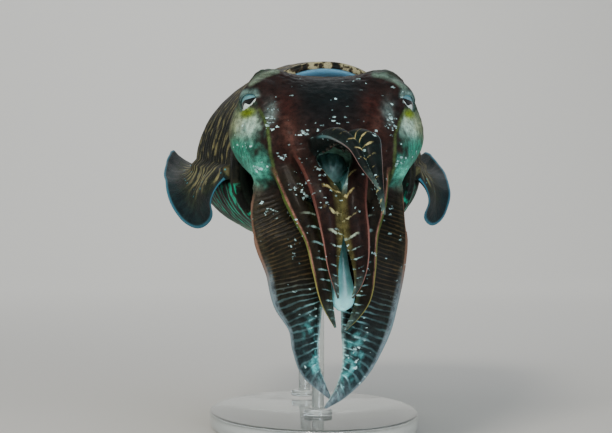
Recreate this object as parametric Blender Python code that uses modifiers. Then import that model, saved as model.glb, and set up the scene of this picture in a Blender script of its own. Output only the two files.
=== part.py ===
# Common cuttlefish, a still life-size model hovering on a plain display stand.
# The face looks along -Y, the tail points along +Y, +Z is up, and -X is the animal's right side.
# The origin is the middle of the stand's underside.
# Lengths are written in millimetres, and new_mesh scales them to metres.

import math

import bmesh
import bpy
import numpy as np
from mathutils import Matrix, Vector

METRES_PER_MM = 0.001
GAP = 0.3  # between pieces that touch

# Mantle, the body sac: length, and its section at each share of that length
MANTLE_FRONT_Y = -62.0
MANTLE_LENGTH = 200.0
MANTLE_STATIONS = (  # share of length, half width, rise and drop from the fin line, height of the fin line
    (0.00, 42.5, 52.0, 32.0, 124.5),
    (0.12, 47.0, 53.0, 35.0, 126.0),
    (0.26, 53.0, 53.0, 37.0, 128.5),
    (0.44, 58.0, 49.0, 37.0, 131.0),
    (0.62, 56.5, 43.0, 33.5, 131.0),
    (0.80, 46.5, 33.0, 26.0, 130.0),
    (0.92, 30.0, 21.0, 17.0, 129.0),
    (0.98, 14.5, 11.0, 9.0, 128.5),
    (1.00, 4.0, 3.5, 3.0, 128.5),
)
MANTLE_SIDES = 30
MANTLE_RINGS = 20
MANTLE_ROUNDNESS = 2.15  # exponent of the section's superellipse
LOBE_REACH = 7.0  # the rim's lobe over the nape
RIM_PROFILE = ((3.0, -6.0, 0.0), (1.0, -3.4, 1.0), (0.0, -1.2, 1.0))  # back from the front, outset, share of lobe
NECK_DEPTH = 12.0  # depth of the hollows that the neck and funnel sit in
NECK_HOLLOW_RINGS = 6  # rings of the head, and of the funnel, that reach out past the rim
FUNNEL_HOLLOW_RINGS = 5

# Fins, along both flanks
FIN_ROOT_THICKNESS = 3.2
FIN_RIM_THICKNESS = 0.8
FIN_GAP = 0.48  # to the mantle's smooth surface, which leaves GAP to its facets
FIN_RINGS = 28
FIN_ACROSS = 5  # strips from root to rim
FIN_DRAWN_IN = {"right": 0.0, "left": 0.19}  # share of its width that the beating fin's middle is drawn in
FIN_MIDDLE = (0.46, 0.22)  # share of the mantle's length, and reach
FIN_STATIONS = (  # share of the mantle's length, width, tilt at the root and at the rim, sweep back of the rim
    (0.055, 5.0, -40.0, -50.0, 0.0),
    (0.082, 13.0, -44.0, -76.0, 0.0),
    (0.12, 22.0, -22.0, -130.0, 0.0),
    (0.165, 29.0, -26.0, -136.0, 0.0),
    (0.22, 30.5, -50.0, -96.0, 0.0),
    (0.335, 23.5, -64.0, -12.0, 0.0),
    (0.41, 20.5, -64.0, 22.0, 0.0),
    (0.56, 20.0, -46.0, 70.0, 0.0),
    (0.685, 21.5, 0.0, 62.0, 0.0),
    (0.81, 23.5, 6.0, 34.0, 3.0),
    (0.90, 22.0, -4.0, 12.0, 10.0),
    (0.955, 15.0, 0.0, 4.0, 15.0),
    (0.985, 7.0, 0.0, 0.0, 13.0),
)

# Head: rings from the neck, inside the mantle's opening, to the crown that carries the arms
CROWN_TILT = 38.0  # degrees that the crown's face leans back from the vertical
CROWN_CENTRE = Vector((-1.8, -107.0, 127.0))
HEAD_STATIONS = (  # y, z, tilt in degrees, half width, rise, drop
    (MANTLE_FRONT_Y + NECK_DEPTH - GAP, 139.0, 0.0, 32.0, 24.0, 25.0),
    (-62.0, 140.0, 0.0, 34.0, 25.5, 27.0),
    (-74.0, 142.0, 3.0, 38.5, 26.5, 29.5),
    (-86.0, 140.5, 10.0, 40.0, 26.0, 28.0),
    (-95.0, 137.0, 19.0, 38.5, 24.5, 25.5),
    (-102.0, 132.0, 29.0, 36.6, 22.5, 23.0),
    (CROWN_CENTRE.y, CROWN_CENTRE.z, CROWN_TILT, 34.5, 21.5, 21.5),
)
HEAD_SIDES = 32
HEAD_RINGS = 15
HEAD_ROUNDNESS = 2.2
HEAD_TURN = 0.04  # share by which the head shears towards the animal's right, ahead of the mantle
HEAD_SWELLINGS = (  # centre on the right side, reach, push
    (Vector((-30.0, -85.0, 162.5)), 14.5, Vector((-1.5, 0.0, 10.0))),  # brow
    (Vector((-41.0, -84.0, 141.0)), 15.0, Vector((-4.0, 0.0, 0.0))),  # cheek
)

SWELL_FROM_Y = -66.0  # the neck behind this stays plain
SWELL_FADE = 8.0

# Eyes, which look outwards and a little forwards
EYE_RADIUS = 10.0
EYE_CENTRE = Vector((-28.2, -91.0, 154.8))  # the right eye, ahead of the head's turn
EYE_AXIS = Vector((-0.875, -0.48, 0.05)).normalized()
EYE_GAP = 0.45
EYE_FACETS = (16, 10)
ORBIT_WALL = 1.7
ORBIT_FACETS = (18, 10)
EYE_OPENING = (8.2, 5.2)  # half length and half height
EYE_OPENING_SIDES = 18

# Funnel, the jet under the neck
FUNNEL_PATH = ((0, MANTLE_FRONT_Y + NECK_DEPTH - GAP, 104.4), (0, -65, 103.8), (0, -77, 101), (0, -88, 95.0))
FUNNEL_WIDTHS = (12.6, 11.0, 8.2, 5.6)
FUNNEL_FLATNESS = 0.54
FUNNEL_SIDES = 18
FUNNEL_RINGS = 10
FUNNEL_WALL = 1.4
FUNNEL_BORE_DEPTH = 9.0

# Mouth, a low dome in the middle of the arms
MOUTH_RADIUS = 6.0
MOUTH_HEIGHT = 8.0

# Arms. Paths start on the crown at (across, up) of its face, then run through points in the frame.
# Half widths are given at the same points. The keel is the arm's raised outer edge.
ARMS = {
    "arm_1_right": {
        "root": (-5.6, 16.2),
        "path": ((-6.9, -128.5, 136.2), (-5.2, -138.0, 138.2), (-1.6, -148.0, 138.0), (3.6, -156.0, 133.4),
                 (7.4, -160.3, 125.3), (13.6, -161.5, 115.6)),
        "half_widths": (4.7, 5.0, 4.8, 4.0, 2.6, 1.6, 0.5),
        "keel": ((-1.0, 0.0, 0.35), (-0.8, -0.3, -0.5)),
        "shape": "plain",
    },
    "arm_1_left": {
        "root": (5.6, 16.2),
        "path": ((4.8, -128.5, 136.4), (7.8, -138.0, 138.2), (10.8, -146.5, 136.6), (11.8, -151.5, 129.8),
                 (13.6, -154.0, 120.0), (16.4, -154.2, 105.6)),
        "half_widths": (4.7, 5.0, 4.8, 4.6, 3.9, 2.3, 0.5),
        "keel": ((1.0, 0.0, 0.35), (1.0, -0.2, 0.0)),
        "shape": "plain",
    },
    "arm_2_right": {
        "root": (-13.2, 10.3),
        "path": ((-9.5, -126.0, 121.5), (-6.2, -132.0, 110.5), (-4.2, -134.5, 96.0), (-2.9, -133.0, 83.0),
                 (0.0, -128.5, 70.4)),
        "half_widths": (4.9, 5.1, 4.8, 3.3, 2.0, 0.5),
        "keel": ((-0.75, -0.1, 0.5), (-1.0, -0.25, 0.0)),
        "shape": "plain",
    },
    "arm_2_left": {
        "root": (13.2, 10.3),
        "path": ((8.4, -126.0, 121.5), (7.1, -132.0, 110.5), (7.9, -134.5, 97.2), (9.2, -133.0, 85.8),
                 (8.6, -130.5, 77.0), (6.0, -128.5, 70.4)),
        "half_widths": (4.9, 4.9, 4.6, 4.7, 3.2, 1.6, 0.5),
        "keel": ((0.75, -0.1, 0.5), (1.0, -0.25, 0.0)),
        "shape": "plain",
    },
    "arm_3_right": {
        "root": (-20.5, 1.5),
        "path": ((-18.8, -116.5, 116.0), (-15.2, -121.0, 107.0), (-10.3, -124.6, 95.0), (-7.6, -125.6, 82.2),
                 (-5.0, -125.0, 69.3), (-0.6, -121.5, 57.5)),
        "half_widths": (5.4, 5.4, 5.0, 3.8, 3.3, 2.5, 0.5),
        "keel": ((-0.9, 0.1, 0.35), (-1.0, -0.3, -0.1)),
        "shape": "plain",
    },
    "arm_3_left": {
        "root": (20.5, 1.5),
        "path": ((17.9, -116.5, 116.0), (15.8, -121.0, 107.0), (13.4, -124.2, 96.5), (13.1, -124.5, 82.2),
                 (11.9, -122.5, 70.8), (8.6, -120.5, 63.0), (3.9, -118.5, 56.2)),
        "half_widths": (5.4, 5.3, 4.8, 4.1, 3.4, 3.0, 1.9, 0.5),
        "keel": ((0.9, 0.1, 0.35), (1.0, -0.3, -0.2)),
        "shape": "plain",
    },
    "arm_4_right": {
        "root": (-18.8, -10.8),
        "path": ((-20.8, -106.0, 106.5), (-19.2, -110.2, 94.8), (-17.2, -111.6, 82.0), (-16.2, -112.4, 69.0),
                 (-13.9, -113.2, 57.5), (-13.4, -114.5, 47.7), (-10.9, -116.5, 38.0), (-2.7, -119.0, 27.1)),
        "half_widths": (14.0, 15.9, 15.2, 12.7, 10.7, 6.5, 5.0, 3.7, 0.6),
        "keel": ((-1.0, 0.05, 0.1), (-1.0, -0.2, -0.6)),
        "shape": "blade",
    },
    "arm_4_left": {
        "root": (20.2, -10.8),
        "path": ((18.9, -106.0, 106.5), (19.5, -110.2, 94.8), (18.0, -111.6, 82.0), (16.0, -112.4, 69.0),
                 (13.9, -113.2, 56.0), (9.8, -116.2, 41.0), (2.6, -120.8, 30.0), (-5.2, -123.5, 23.4)),
        "half_widths": (12.9, 13.6, 12.9, 12.7, 11.8, 10.2, 6.2, 2.7, 0.6),
        "keel": ((1.0, 0.05, 0.1), (0.8, -0.2, -0.8)),
        "shape": "blade",
    },
    "tentacle_left": {
        "root": (8.5, -3.4),
        "path": ((5.6, -113.8, 118.5), (3.4, -118.5, 106.0), (2.4, -121.0, 94.0), (2.6, -121.5, 84.0),
                 (2.7, -121.5, 75.0), (2.6, -121.5, 70.0), (2.3, -121.5, 66.6), (2.2, -121.5, 64.6)),
        "half_widths": (2.3, 2.1, 1.9, 1.9, 2.7, 4.6, 5.1, 4.0, 1.4),
        "keel": ((1.0, 0.0, 0.0), (1.0, 0.0, 0.0)),
        "shape": "club",
    },
    "tentacle_right": {
        "root": (-8.5, -3.4),
        "path": ((-6.0, -111.5, 118.0), (-2.2, -114.0, 106.0), (-0.2, -115.2, 95.0), (0.2, -115.8, 85.0),
                 (0.2, -116.0, 77.0), (0.1, -116.0, 72.5), (0.0, -116.0, 69.5), (0.0, -116.0, 67.8)),
        "half_widths": (2.3, 2.1, 1.9, 1.8, 2.4, 3.4, 3.6, 2.8, 1.2),
        "keel": ((-1.0, 0.0, 0.0), (-1.0, 0.0, 0.0)),
        "shape": "club",
    },
}
# Sections in shares of the half width, towards the keel, and of the half thickness, towards the front.
SECTIONS = {
    "plain": ((1.0, 0.0), (0.62, 0.46), (0.1, 0.86), (-0.55, 0.8), (-0.92, 0.3), (-0.95, -0.3),
              (-0.6, -0.66), (0.0, -0.86), (0.5, -0.8), (0.85, -0.35)),
    "blade": ((1.0, 0.0), (0.68, 0.3), (0.25, 0.55), (-0.25, 0.9), (-0.72, 0.86), (-1.0, 0.25),
              (-0.92, -0.5), (-0.45, -0.95), (0.1, -0.62), (0.6, -0.3)),
    "club": ((1.0, 0.0), (0.8, 0.6), (0.32, 0.95), (-0.32, 0.95), (-0.8, 0.6), (-1.0, 0.0),
             (-0.8, -0.6), (-0.32, -0.95), (0.32, -0.95), (0.8, -0.6)),
}
ORAL_FACES = {  # ends of the section's stretch that carries the two rows of suckers
    "plain": ((-0.98, -0.05), (-0.08, -0.86)),
    "blade": ((-1.0, 0.25), (-0.66, 0.87)),
    "club": ((-0.75, -0.7), (0.75, -0.7)),
}
ROOT_LEAD = 4.0  # length that every arm runs straight out of the crown
ARM_RINGS = 18
ARM_SPLIT = 0.46  # share of an arm's length at which its base ends and its tip begins
PLAIN_THICKNESS = 0.84  # half thickness as a share of the half width
BLADE_THICKNESS = 3.3
BLADE_WRAP = 0.1  # how far a blade's keel bends back, as a share of its half width
CLUB_FLATNESS = 0.55
STALK_RADIUS = 2.0
LEAST_HALF_THICKNESS = 0.3

# Suckers, in two rows on every arm and club, paired along its length
SUCKER_RADII = (0.55, 1.15)  # at the tip and where the arm is broad
SUCKER_SHARE = 0.2  # radius as a share of the arm's half width, between those
SUCKER_PAIR_WIDTH = 2.5  # least distance between the rows, in radii, at which both carry a sucker
SUCKER_PITCH = 5.9  # distance along the arm in radii, in pairs
SUCKER_SINGLE_PITCH = 3.9  # the same where the rows take turns
SUCKER_HEIGHT = 1.0  # above the skin, in radii
SUCKER_SINK = 0.8  # below the skin, in radii
SUCKER_CUP = 0.4  # depth of the hollow, in radii
SUCKER_NECK = 0.72  # radius at the foot, in radii
SUCKER_SIDES = 6
SUCKER_ROWS = (0.24, 0.79)  # shares across the oral face
SUCKERS_FROM = 9.0  # bare length at an arm's root
NODE_END_MARGIN = 1.6  # bare length beside a cut end

# Stand
BASE_HALF_WIDTH = 52.0
BASE_HALF_LENGTH = 82.0
BASE_THICKNESS = 8.0
BASE_BEVEL = 1.2
BASE_SIDES = 40
ROD_RADIUS = 3.0
ROD_SIDES = 16
ROD_SOCKET_DEPTH = 5.0
ROD_YS = (-28.0, 58.0)
FLANGE_RADIUS = 7.0
FLANGE_HEIGHT = 3.0

COLOURS = {
    "skin": (0.115, 0.058, 0.045),
    "fin": (0.26, 0.24, 0.17),
    "arm": (0.10, 0.055, 0.045),
    "blade": (0.13, 0.085, 0.07),
    "tentacle": (0.42, 0.56, 0.55),
    "eye": (0.55, 0.60, 0.58),
    "mouth": (0.36, 0.30, 0.24),
    "funnel": (0.40, 0.36, 0.30),
    "acrylic": (0.78, 0.82, 0.83),
}
ROUGHNESS = {"acrylic": 0.08, "eye": 0.1}
SKIN_ROUGHNESS = 0.38


def clear_scene():
    for item in list(bpy.data.objects):
        bpy.data.objects.remove(item)


def new_collection(name, hidden=False):
    made = bpy.data.collections.new(name)
    bpy.context.scene.collection.children.link(made)
    made.hide_render = hidden
    return made


def new_material(name):
    made = bpy.data.materials.new(name)
    made.use_nodes = True
    shader = made.node_tree.nodes["Principled BSDF"]
    shader.inputs["Base Color"].default_value = (*COLOURS[name], 1.0)
    shader.inputs["Roughness"].default_value = ROUGHNESS.get(name, SKIN_ROUGHNESS)
    shader.inputs["Metallic"].default_value = 0.0
    return made


def new_mesh(name, bm, collection, material=None):
    """Makes an object of a bmesh in millimetres."""
    bm.normal_update()
    bmesh.ops.recalc_face_normals(bm, faces=bm.faces)
    bm.transform(Matrix.Scale(METRES_PER_MM, 4))
    mesh = bpy.data.meshes.new(name)
    bm.to_mesh(mesh)
    bm.free()
    made = bpy.data.objects.new(name, mesh)
    collection.objects.link(made)
    if material:
        mesh.materials.append(material)
    mesh.shade_smooth()
    return made


def blend_along(stations, t):
    """Catmull-Rom value of the stations' other columns at t, where the first column is the place."""
    places = [row[0] for row in stations]
    last = len(stations) - 1
    i = max(0, min(last - 1, sum(place <= t for place in places) - 1))
    share = (t - places[i]) / (places[i + 1] - places[i])
    rows = [np.array(stations[max(0, min(last, i + k))][1:], dtype=float) for k in (-1, 0, 1, 2)]
    steps = [places[max(0, min(last, i + k))] for k in (-1, 0, 1, 2)]
    span = steps[2] - steps[1]
    slope_in = (rows[2] - rows[0]) / (steps[2] - steps[0]) * span
    slope_out = (rows[3] - rows[1]) / (steps[3] - steps[1]) * span
    s, s2, s3 = share, share**2, share**3
    return (
        rows[1] * (2 * s3 - 3 * s2 + 1)
        + slope_in * (s3 - 2 * s2 + s)
        + rows[2] * (3 * s2 - 2 * s3)
        + slope_out * (s3 - s2)
    )


def enumerate_rows(values):
    """Rows of place and value for blend_along, one place apart."""
    return [(i, value) for i, value in enumerate(values)]


def superellipse(angle, half_width, rise, drop, exponent):
    """A point of a section at this angle from its right-hand end, with its own rise and drop."""
    c, s = math.cos(angle), math.sin(angle)
    across = math.copysign(abs(c) ** (2 / exponent), c) * half_width
    height = math.copysign(abs(s) ** (2 / exponent), s) * (rise if s > 0 else drop)
    return across, height


def loft(rings, closed_ends=True):
    """A closed skin over rings of equally many points, split alike on its two faces."""
    bm = bmesh.new()
    made = [[bm.verts.new(point) for point in ring] for ring in rings]
    count = len(rings[0])
    for low, high in zip(made, made[1:]):
        for k in range(count):
            a, b = low[k], low[(k + 1) % count]
            c, d = high[(k + 1) % count], high[k]
            if k < count // 2:
                bm.faces.new((a, b, c))
                bm.faces.new((a, c, d))
            else:
                bm.faces.new((a, b, d))
                bm.faces.new((b, c, d))
    if closed_ends:
        bm.faces.new(made[0])
        bm.faces.new(made[-1])
    return bm


def boolean(target, pieces, operation, solver="EXACT"):
    """Joins or cuts the target with a collection of pieces, applies it and removes them."""
    modifier = target.modifiers.new(operation.title(), "BOOLEAN")
    modifier.operation = operation
    modifier.operand_type = "COLLECTION"
    modifier.collection = pieces
    modifier.solver = solver
    graph = bpy.context.evaluated_depsgraph_get()
    joined = bpy.data.meshes.new_from_object(target.evaluated_get(graph))
    target.modifiers.clear()
    target.data = joined
    joined.shade_smooth()
    for piece in list(pieces.objects):
        bpy.data.objects.remove(piece)
    bpy.data.collections.remove(pieces)


def keep_largest(target):
    """Drops all but the largest closed surface of a mesh."""
    bm = bmesh.new()
    bm.from_mesh(target.data)
    left, groups = set(bm.verts), []
    while left:
        edge = [left.pop()]
        group = set(edge)
        while edge:
            for link in edge.pop().link_edges:
                for vert in link.verts:
                    if vert in left:
                        left.remove(vert)
                        group.add(vert)
                        edge.append(vert)
        groups.append(group)
    groups.sort(key=len)
    bmesh.ops.delete(bm, geom=[vert for group in groups[:-1] for vert in group], context="VERTS")
    bm.to_mesh(target.data)
    bm.free()


def mantle_point(share, angle, outset=0.0):
    """A point on the mantle's skin, set out from it by outset."""
    half_width, rise, drop, line = blend_along(MANTLE_STATIONS, share)
    x, z = superellipse(angle, half_width + outset, rise + outset, drop + outset, MANTLE_ROUNDNESS)
    return Vector((x, MANTLE_FRONT_Y + share * MANTLE_LENGTH, line + z))


def lobe(angle):
    """How far the rim reaches forwards, most over the nape."""
    return LOBE_REACH * max(0.0, math.sin(angle)) ** 3


def make_mantle(collection, material):
    """The body sac with its rolled front rim, hollowed to take the neck and the funnel's root."""
    angles = [2 * math.pi * k / MANTLE_SIDES for k in range(MANTLE_SIDES)]
    rings = []
    for back, outset, share in RIM_PROFILE:
        ring = [mantle_point(0.0, angle, outset) for angle in angles]
        rings.append([p + Vector((0, back - share * lobe(angle), 0)) for p, angle in zip(ring, angles)])
    for i in range(MANTLE_RINGS + 1):
        share = 0.008 + 0.992 * (1 - (1 - i / MANTLE_RINGS) ** 1.25)
        fade = max(0.0, 1.0 - share / 0.3) ** 2
        rings.append([mantle_point(share, angle) - Vector((0, lobe(angle) * fade, 0)) for angle in angles])
    mantle = new_mesh("mantle", loft(rings), collection, material)
    hollows = new_collection("neck_and_funnel_hollows", hidden=True)
    new_mesh("neck_hollow", loft(head_rings(1.2 * GAP)[:NECK_HOLLOW_RINGS]), hollows)
    new_mesh("funnel_hollow", loft(funnel_rings(1.2 * GAP)[:FUNNEL_HOLLOW_RINGS]), hollows)
    boolean(mantle, hollows, "DIFFERENCE")
    return mantle


def fin_section(side, share):
    """The closed section of a fin at a share of the mantle's length: upper face out, lower face back."""
    width, tilt, rim_tilt, sweep = blend_along(FIN_STATIONS, share)
    width *= 1 - FIN_DRAWN_IN[side] * math.exp(-((share - FIN_MIDDLE[0]) / FIN_MIDDLE[1]) ** 2)
    half_width, rise, drop, line = blend_along(MANTLE_STATIONS, share)
    half_root = min(FIN_ROOT_THICKNESS / 2, 0.3 * rise)
    roots = []
    for up in (1, -1):
        reach = rise if up > 0 else drop
        angle = up * math.asin(min(1.0, half_root / reach) ** (MANTLE_ROUNDNESS / 2))
        roots.append(mantle_point(share, angle, FIN_GAP * (1 + 2.2 * share**4)))
    middle = (roots[0] + roots[1]) / 2
    upper, lower = [roots[0]], [roots[1]]
    spine = Vector((middle.x, 0, middle.z))
    step = width / FIN_ACROSS
    for k in range(1, FIN_ACROSS + 1):
        across = k / FIN_ACROSS
        heading = math.radians(tilt + (rim_tilt - tilt) * (across - 0.5 / FIN_ACROSS))
        along = Vector((math.cos(heading), 0, math.sin(heading)))
        spine = spine + along * step
        half = (FIN_ROOT_THICKNESS * (1 - across) ** 1.6 + FIN_RIM_THICKNESS) / 2
        normal = Vector((-along.z, 0, along.x))
        trailing = Vector((0, middle.y + sweep * across, 0))
        upper.append(spine + trailing + normal * half)
        lower.append(spine + trailing - normal * half)
    section = upper + lower[::-1]
    return [mirrored(Vector((-p.x, p.y, p.z)), side) for p in section]


def make_fin(side, collection, material):
    first, last = FIN_STATIONS[0][0], FIN_STATIONS[-1][0]
    rings = [fin_section(side, first + (last - first) * i / FIN_RINGS) for i in range(FIN_RINGS + 1)]
    return new_mesh("fin_" + side, loft(rings), collection, material)


def swell(point):
    """Pushes a point of the head's skin out where the brow, cheek and eye swell, on both sides."""
    moved = point.copy()
    fade = max(0.0, min(1.0, (SWELL_FROM_Y - point.y) / SWELL_FADE))
    for centre, reach, push in HEAD_SWELLINGS:
        for side in (1, -1):
            middle = Vector((side * centre.x, centre.y, centre.z))
            fall = math.exp(-((point - middle).length / reach) ** 2)
            moved += Vector((side * push.x, push.y, push.z)) * (fall * fade)
    return moved


def head_rings(outset=0.0):
    """Sections from the neck to the crown, set out from the skin by outset."""
    places = [(i, *row) for i, row in enumerate(HEAD_STATIONS)]
    last = len(HEAD_STATIONS) - 1
    rings = []
    for i in range(HEAD_RINGS + 1):
        t = last * i / HEAD_RINGS
        values = blend_along(places, t)
        y, z, tilt, half_width, rise, drop = values
        y += outset if i == 0 else 0.0
        lean = math.radians(tilt)
        ring = []
        for k in range(HEAD_SIDES):
            angle = 2 * math.pi * k / HEAD_SIDES
            across, height = superellipse(
                angle, half_width + outset, rise + outset, drop + outset, HEAD_ROUNDNESS
            )
            point = Vector((across, y - height * math.sin(lean), z + height * math.cos(lean)))
            ring.append(turned(point if i == HEAD_RINGS else swell(point)))
        rings.append(ring)
    return rings


def ball(name, centre, radius, facets, collection, material=None):
    bm = bmesh.new()
    bmesh.ops.create_uvsphere(bm, u_segments=facets[0], v_segments=facets[1], radius=radius)
    made = new_mesh(name, bm, collection, material)
    made.location = centre * METRES_PER_MM
    return made


def opening(name, centre, axis, collection):
    """The oval tunnel that parts the lids."""
    bm = bmesh.new()
    bmesh.ops.create_cone(
        bm, cap_ends=True, segments=EYE_OPENING_SIDES, radius1=1, radius2=1, depth=2 * EYE_RADIUS
    )
    bm.transform(Matrix.Diagonal((*EYE_OPENING, 1, 1)))
    made = new_mesh(name, bm, collection)
    made.rotation_euler = axis.to_track_quat("Z", "Y").to_euler()
    made.location = (centre + axis * (EYE_RADIUS + 1)) * METRES_PER_MM
    return made


def mirrored(point, side):
    """The point on the right side as it stands, or carried over to the left."""
    return Vector((point.x if side == "right" else -point.x, point.y, point.z))


def turned(point):
    """The point after the head's turn."""
    return point - Vector((HEAD_TURN * max(0.0, MANTLE_FRONT_Y - point.y), 0, 0))


def make_head(collection, material):
    head = new_mesh("head", loft(head_rings()), collection, material)
    orbits = new_collection("orbits", hidden=True)
    sockets = new_collection("eye_sockets", hidden=True)
    for side in ("right", "left"):
        centre, axis = turned(mirrored(EYE_CENTRE, side)), mirrored(EYE_AXIS, side)
        ball("orbit_" + side, centre, EYE_RADIUS + ORBIT_WALL, ORBIT_FACETS, orbits)
        ball("socket_" + side, centre, EYE_RADIUS + EYE_GAP, ORBIT_FACETS, sockets)
        opening("opening_" + side, centre, axis, sockets)
    boolean(head, orbits, "UNION")
    boolean(head, sockets, "DIFFERENCE")
    keep_largest(head)
    return head


def make_eye(side, collection, material):
    return ball("eye_" + side, turned(mirrored(EYE_CENTRE, side)), EYE_RADIUS, EYE_FACETS, collection, material)


def path_frames(points, count, start=0.0, end=1.0):
    """Places and directions at even shares of a smooth line through the points."""
    stations = [(i, *point) for i, point in enumerate(points)]
    last = len(points) - 1
    found = []
    for i in range(count + 1):
        t = last * (start + (end - start) * i / count)
        step = 0.01
        low, high = max(0.0, t - step), min(float(last), t + step)
        place = Vector(blend_along(stations, t))
        heading = Vector(blend_along(stations, high) - blend_along(stations, low)).normalized()
        found.append((t, place, heading))
    return found


def crown_point(across, up):
    lean = math.radians(CROWN_TILT)
    return CROWN_CENTRE + Vector((across, -up * math.sin(lean), up * math.cos(lean)))


def crown_normal():
    lean = math.radians(CROWN_TILT)
    return Vector((0, -math.cos(lean), -math.sin(lean)))


def arm_frame(spec, t, place, heading):
    """Directions of an arm's keel and front at t, and its half width and half thickness."""
    last = len(spec["path"]) + 1
    share = t / last
    keel = Vector(spec["keel"][0]).lerp(Vector(spec["keel"][1]), share)
    keel = (keel - heading * keel.dot(heading)).normalized()
    side = 1 if spec["keel"][0][0] < 0 else -1
    front = keel.cross(heading) * side
    half_widths = (spec["half_widths"][0], *spec["half_widths"])
    width = max(LEAST_HALF_THICKNESS, blend_along(enumerate_rows(half_widths), t)[0])
    if spec["shape"] == "plain":
        thickness = width * PLAIN_THICKNESS
    elif spec["shape"] == "blade":
        thickness = min(BLADE_THICKNESS, 0.7 * width)
    else:
        thickness = max(min(width, STALK_RADIUS), width * CLUB_FLATNESS)
    return keel, front, width, max(LEAST_HALF_THICKNESS, thickness)


def section_point(spec, frame, place, k, f):
    keel, front, width, thickness = frame
    wrap = BLADE_WRAP * width * k * k if spec["shape"] == "blade" and k > 0 else 0.0
    return place + keel * (width * k) + front * (thickness * f - wrap)


def arm_path(spec):
    """The arm's line: its root on the crown, straight out of it, then its own points."""
    root = crown_point(*spec["root"]) + crown_normal() * GAP
    return [root, root + crown_normal() * ROOT_LEAD, *[Vector(point) for point in spec["path"]]]


def arm_place(spec, t):
    """Place, direction and section frame of an arm at t along its points."""
    points = arm_path(spec)
    t, place, heading = path_frames(points, 1, t / (len(points) - 1), 1.0)[0]
    heading = heading.lerp(crown_normal(), max(0.0, 1.0 - t)).normalized()
    return place, heading, arm_frame(spec, t, place, heading)


def arm_rings(spec, start, end, count):
    last = len(arm_path(spec)) - 1
    rings = []
    for i in range(count + 1):
        place, heading, frame = arm_place(spec, last * (start + (end - start) * i / count))
        rings.append([section_point(spec, frame, place, k, f) for k, f in SECTIONS[spec["shape"]]])
    return rings


def sucker(name, foot, out, radius, collection):
    """A low cup with its foot sunk in the skin."""
    bm = bmesh.new()
    profile = (
        (SUCKER_NECK, -SUCKER_SINK),
        (1.0, SUCKER_HEIGHT),
    )
    rings = []
    for share, height in profile:
        ring = []
        for k in range(SUCKER_SIDES):
            angle = 2 * math.pi * k / SUCKER_SIDES
            ring.append(bm.verts.new((share * math.cos(angle), share * math.sin(angle), height)))
        rings.append(ring)
    bm.faces.new(rings[0])
    cup = bm.verts.new((0, 0, SUCKER_HEIGHT - SUCKER_CUP))
    for k in range(SUCKER_SIDES):
        after = (k + 1) % SUCKER_SIDES
        bm.faces.new((rings[0][k], rings[0][after], rings[1][after], rings[1][k]))
        bm.faces.new((rings[1][k], rings[1][after], cup))
    bmesh.ops.scale(bm, vec=(radius, radius, radius), verts=bm.verts)
    made = new_mesh(name, bm, collection)
    made.rotation_euler = out.to_track_quat("Z", "Y").to_euler()
    made.location = foot * METRES_PER_MM
    return made


def add_suckers(arm, spec, start, end):
    """Sets both rows of suckers on one length of an arm and joins them to it."""
    points = arm_path(spec)
    last = len(points) - 1
    travel = arc_shares(points)
    low = max(SUCKERS_FROM, length_at(travel, start) + NODE_END_MARGIN)
    high = length_at(travel, end) - NODE_END_MARGIN
    stubs = new_collection("suckers_" + arm.name, hidden=True)
    travelled, pair = low, 0
    while travelled < high:
        place, heading, frame = arm_place(spec, last * share_at(travel, travelled))
        keel, front, width, thickness = frame
        radius = max(SUCKER_RADII[0], min(SUCKER_RADII[1], SUCKER_SHARE * width + 0.25))
        (k0, f0), (k1, f1) = ORAL_FACES[spec["shape"]]
        across = keel * ((k1 - k0) * width) + front * ((f1 - f0) * thickness)
        out = across.cross(heading).normalized()
        if out.dot(keel * (k0 + k1) * width + front * (f0 + f1) * thickness) < 0:
            out = -out
        paired = across.length * (SUCKER_ROWS[1] - SUCKER_ROWS[0]) > SUCKER_PAIR_WIDTH * radius
        for row, share in enumerate(SUCKER_ROWS):
            if paired or row == pair % 2:
                foot = section_point(spec, frame, place, k0 + (k1 - k0) * share, f0 + (f1 - f0) * share)
                sucker(f"sucker_{pair}_{row}", foot, out, radius, stubs)
        travelled += (SUCKER_PITCH if paired else SUCKER_SINGLE_PITCH) * radius
        pair += 1
    boolean(arm, stubs, "UNION")
    keep_largest(arm)


def arc_shares(points, steps=80):
    """Length travelled at even steps of the line's own parameter."""
    places = [frame[1] for frame in path_frames(points, steps)]
    travelled = [0.0]
    for a, b in zip(places, places[1:]):
        travelled.append(travelled[-1] + (b - a).length)
    return travelled


def share_at(travelled, length):
    """The line's own share, 0 to 1, at a length along it."""
    return float(np.interp(length, travelled, np.linspace(0.0, 1.0, len(travelled))))


def length_at(travelled, share):
    """The length along the line at its own share, 0 to 1."""
    return float(np.interp(share, np.linspace(0.0, 1.0, len(travelled)), travelled))


def path_length(points):
    return arc_shares(points)[-1]


def make_arm(name, spec, collection, material):
    """An arm in two lengths, its base and its tip, or a tentacle's stalk and club."""
    split_gap = 1.15 * GAP / path_length(arm_path(spec))
    if spec["shape"] == "club":
        labels = ("stalk", "club")
    else:
        labels = ("base", "tip")
    spans = ((0.0, ARM_SPLIT), (ARM_SPLIT + split_gap, 1.0))
    for label, (start, end) in zip(labels, spans):
        count = max(6, round(ARM_RINGS * (end - start)))
        arm = new_mesh(f"{name}_{label}", loft(arm_rings(spec, start, end, count)), collection, material)
        if label != "stalk":
            add_suckers(arm, spec, start, end)


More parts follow.
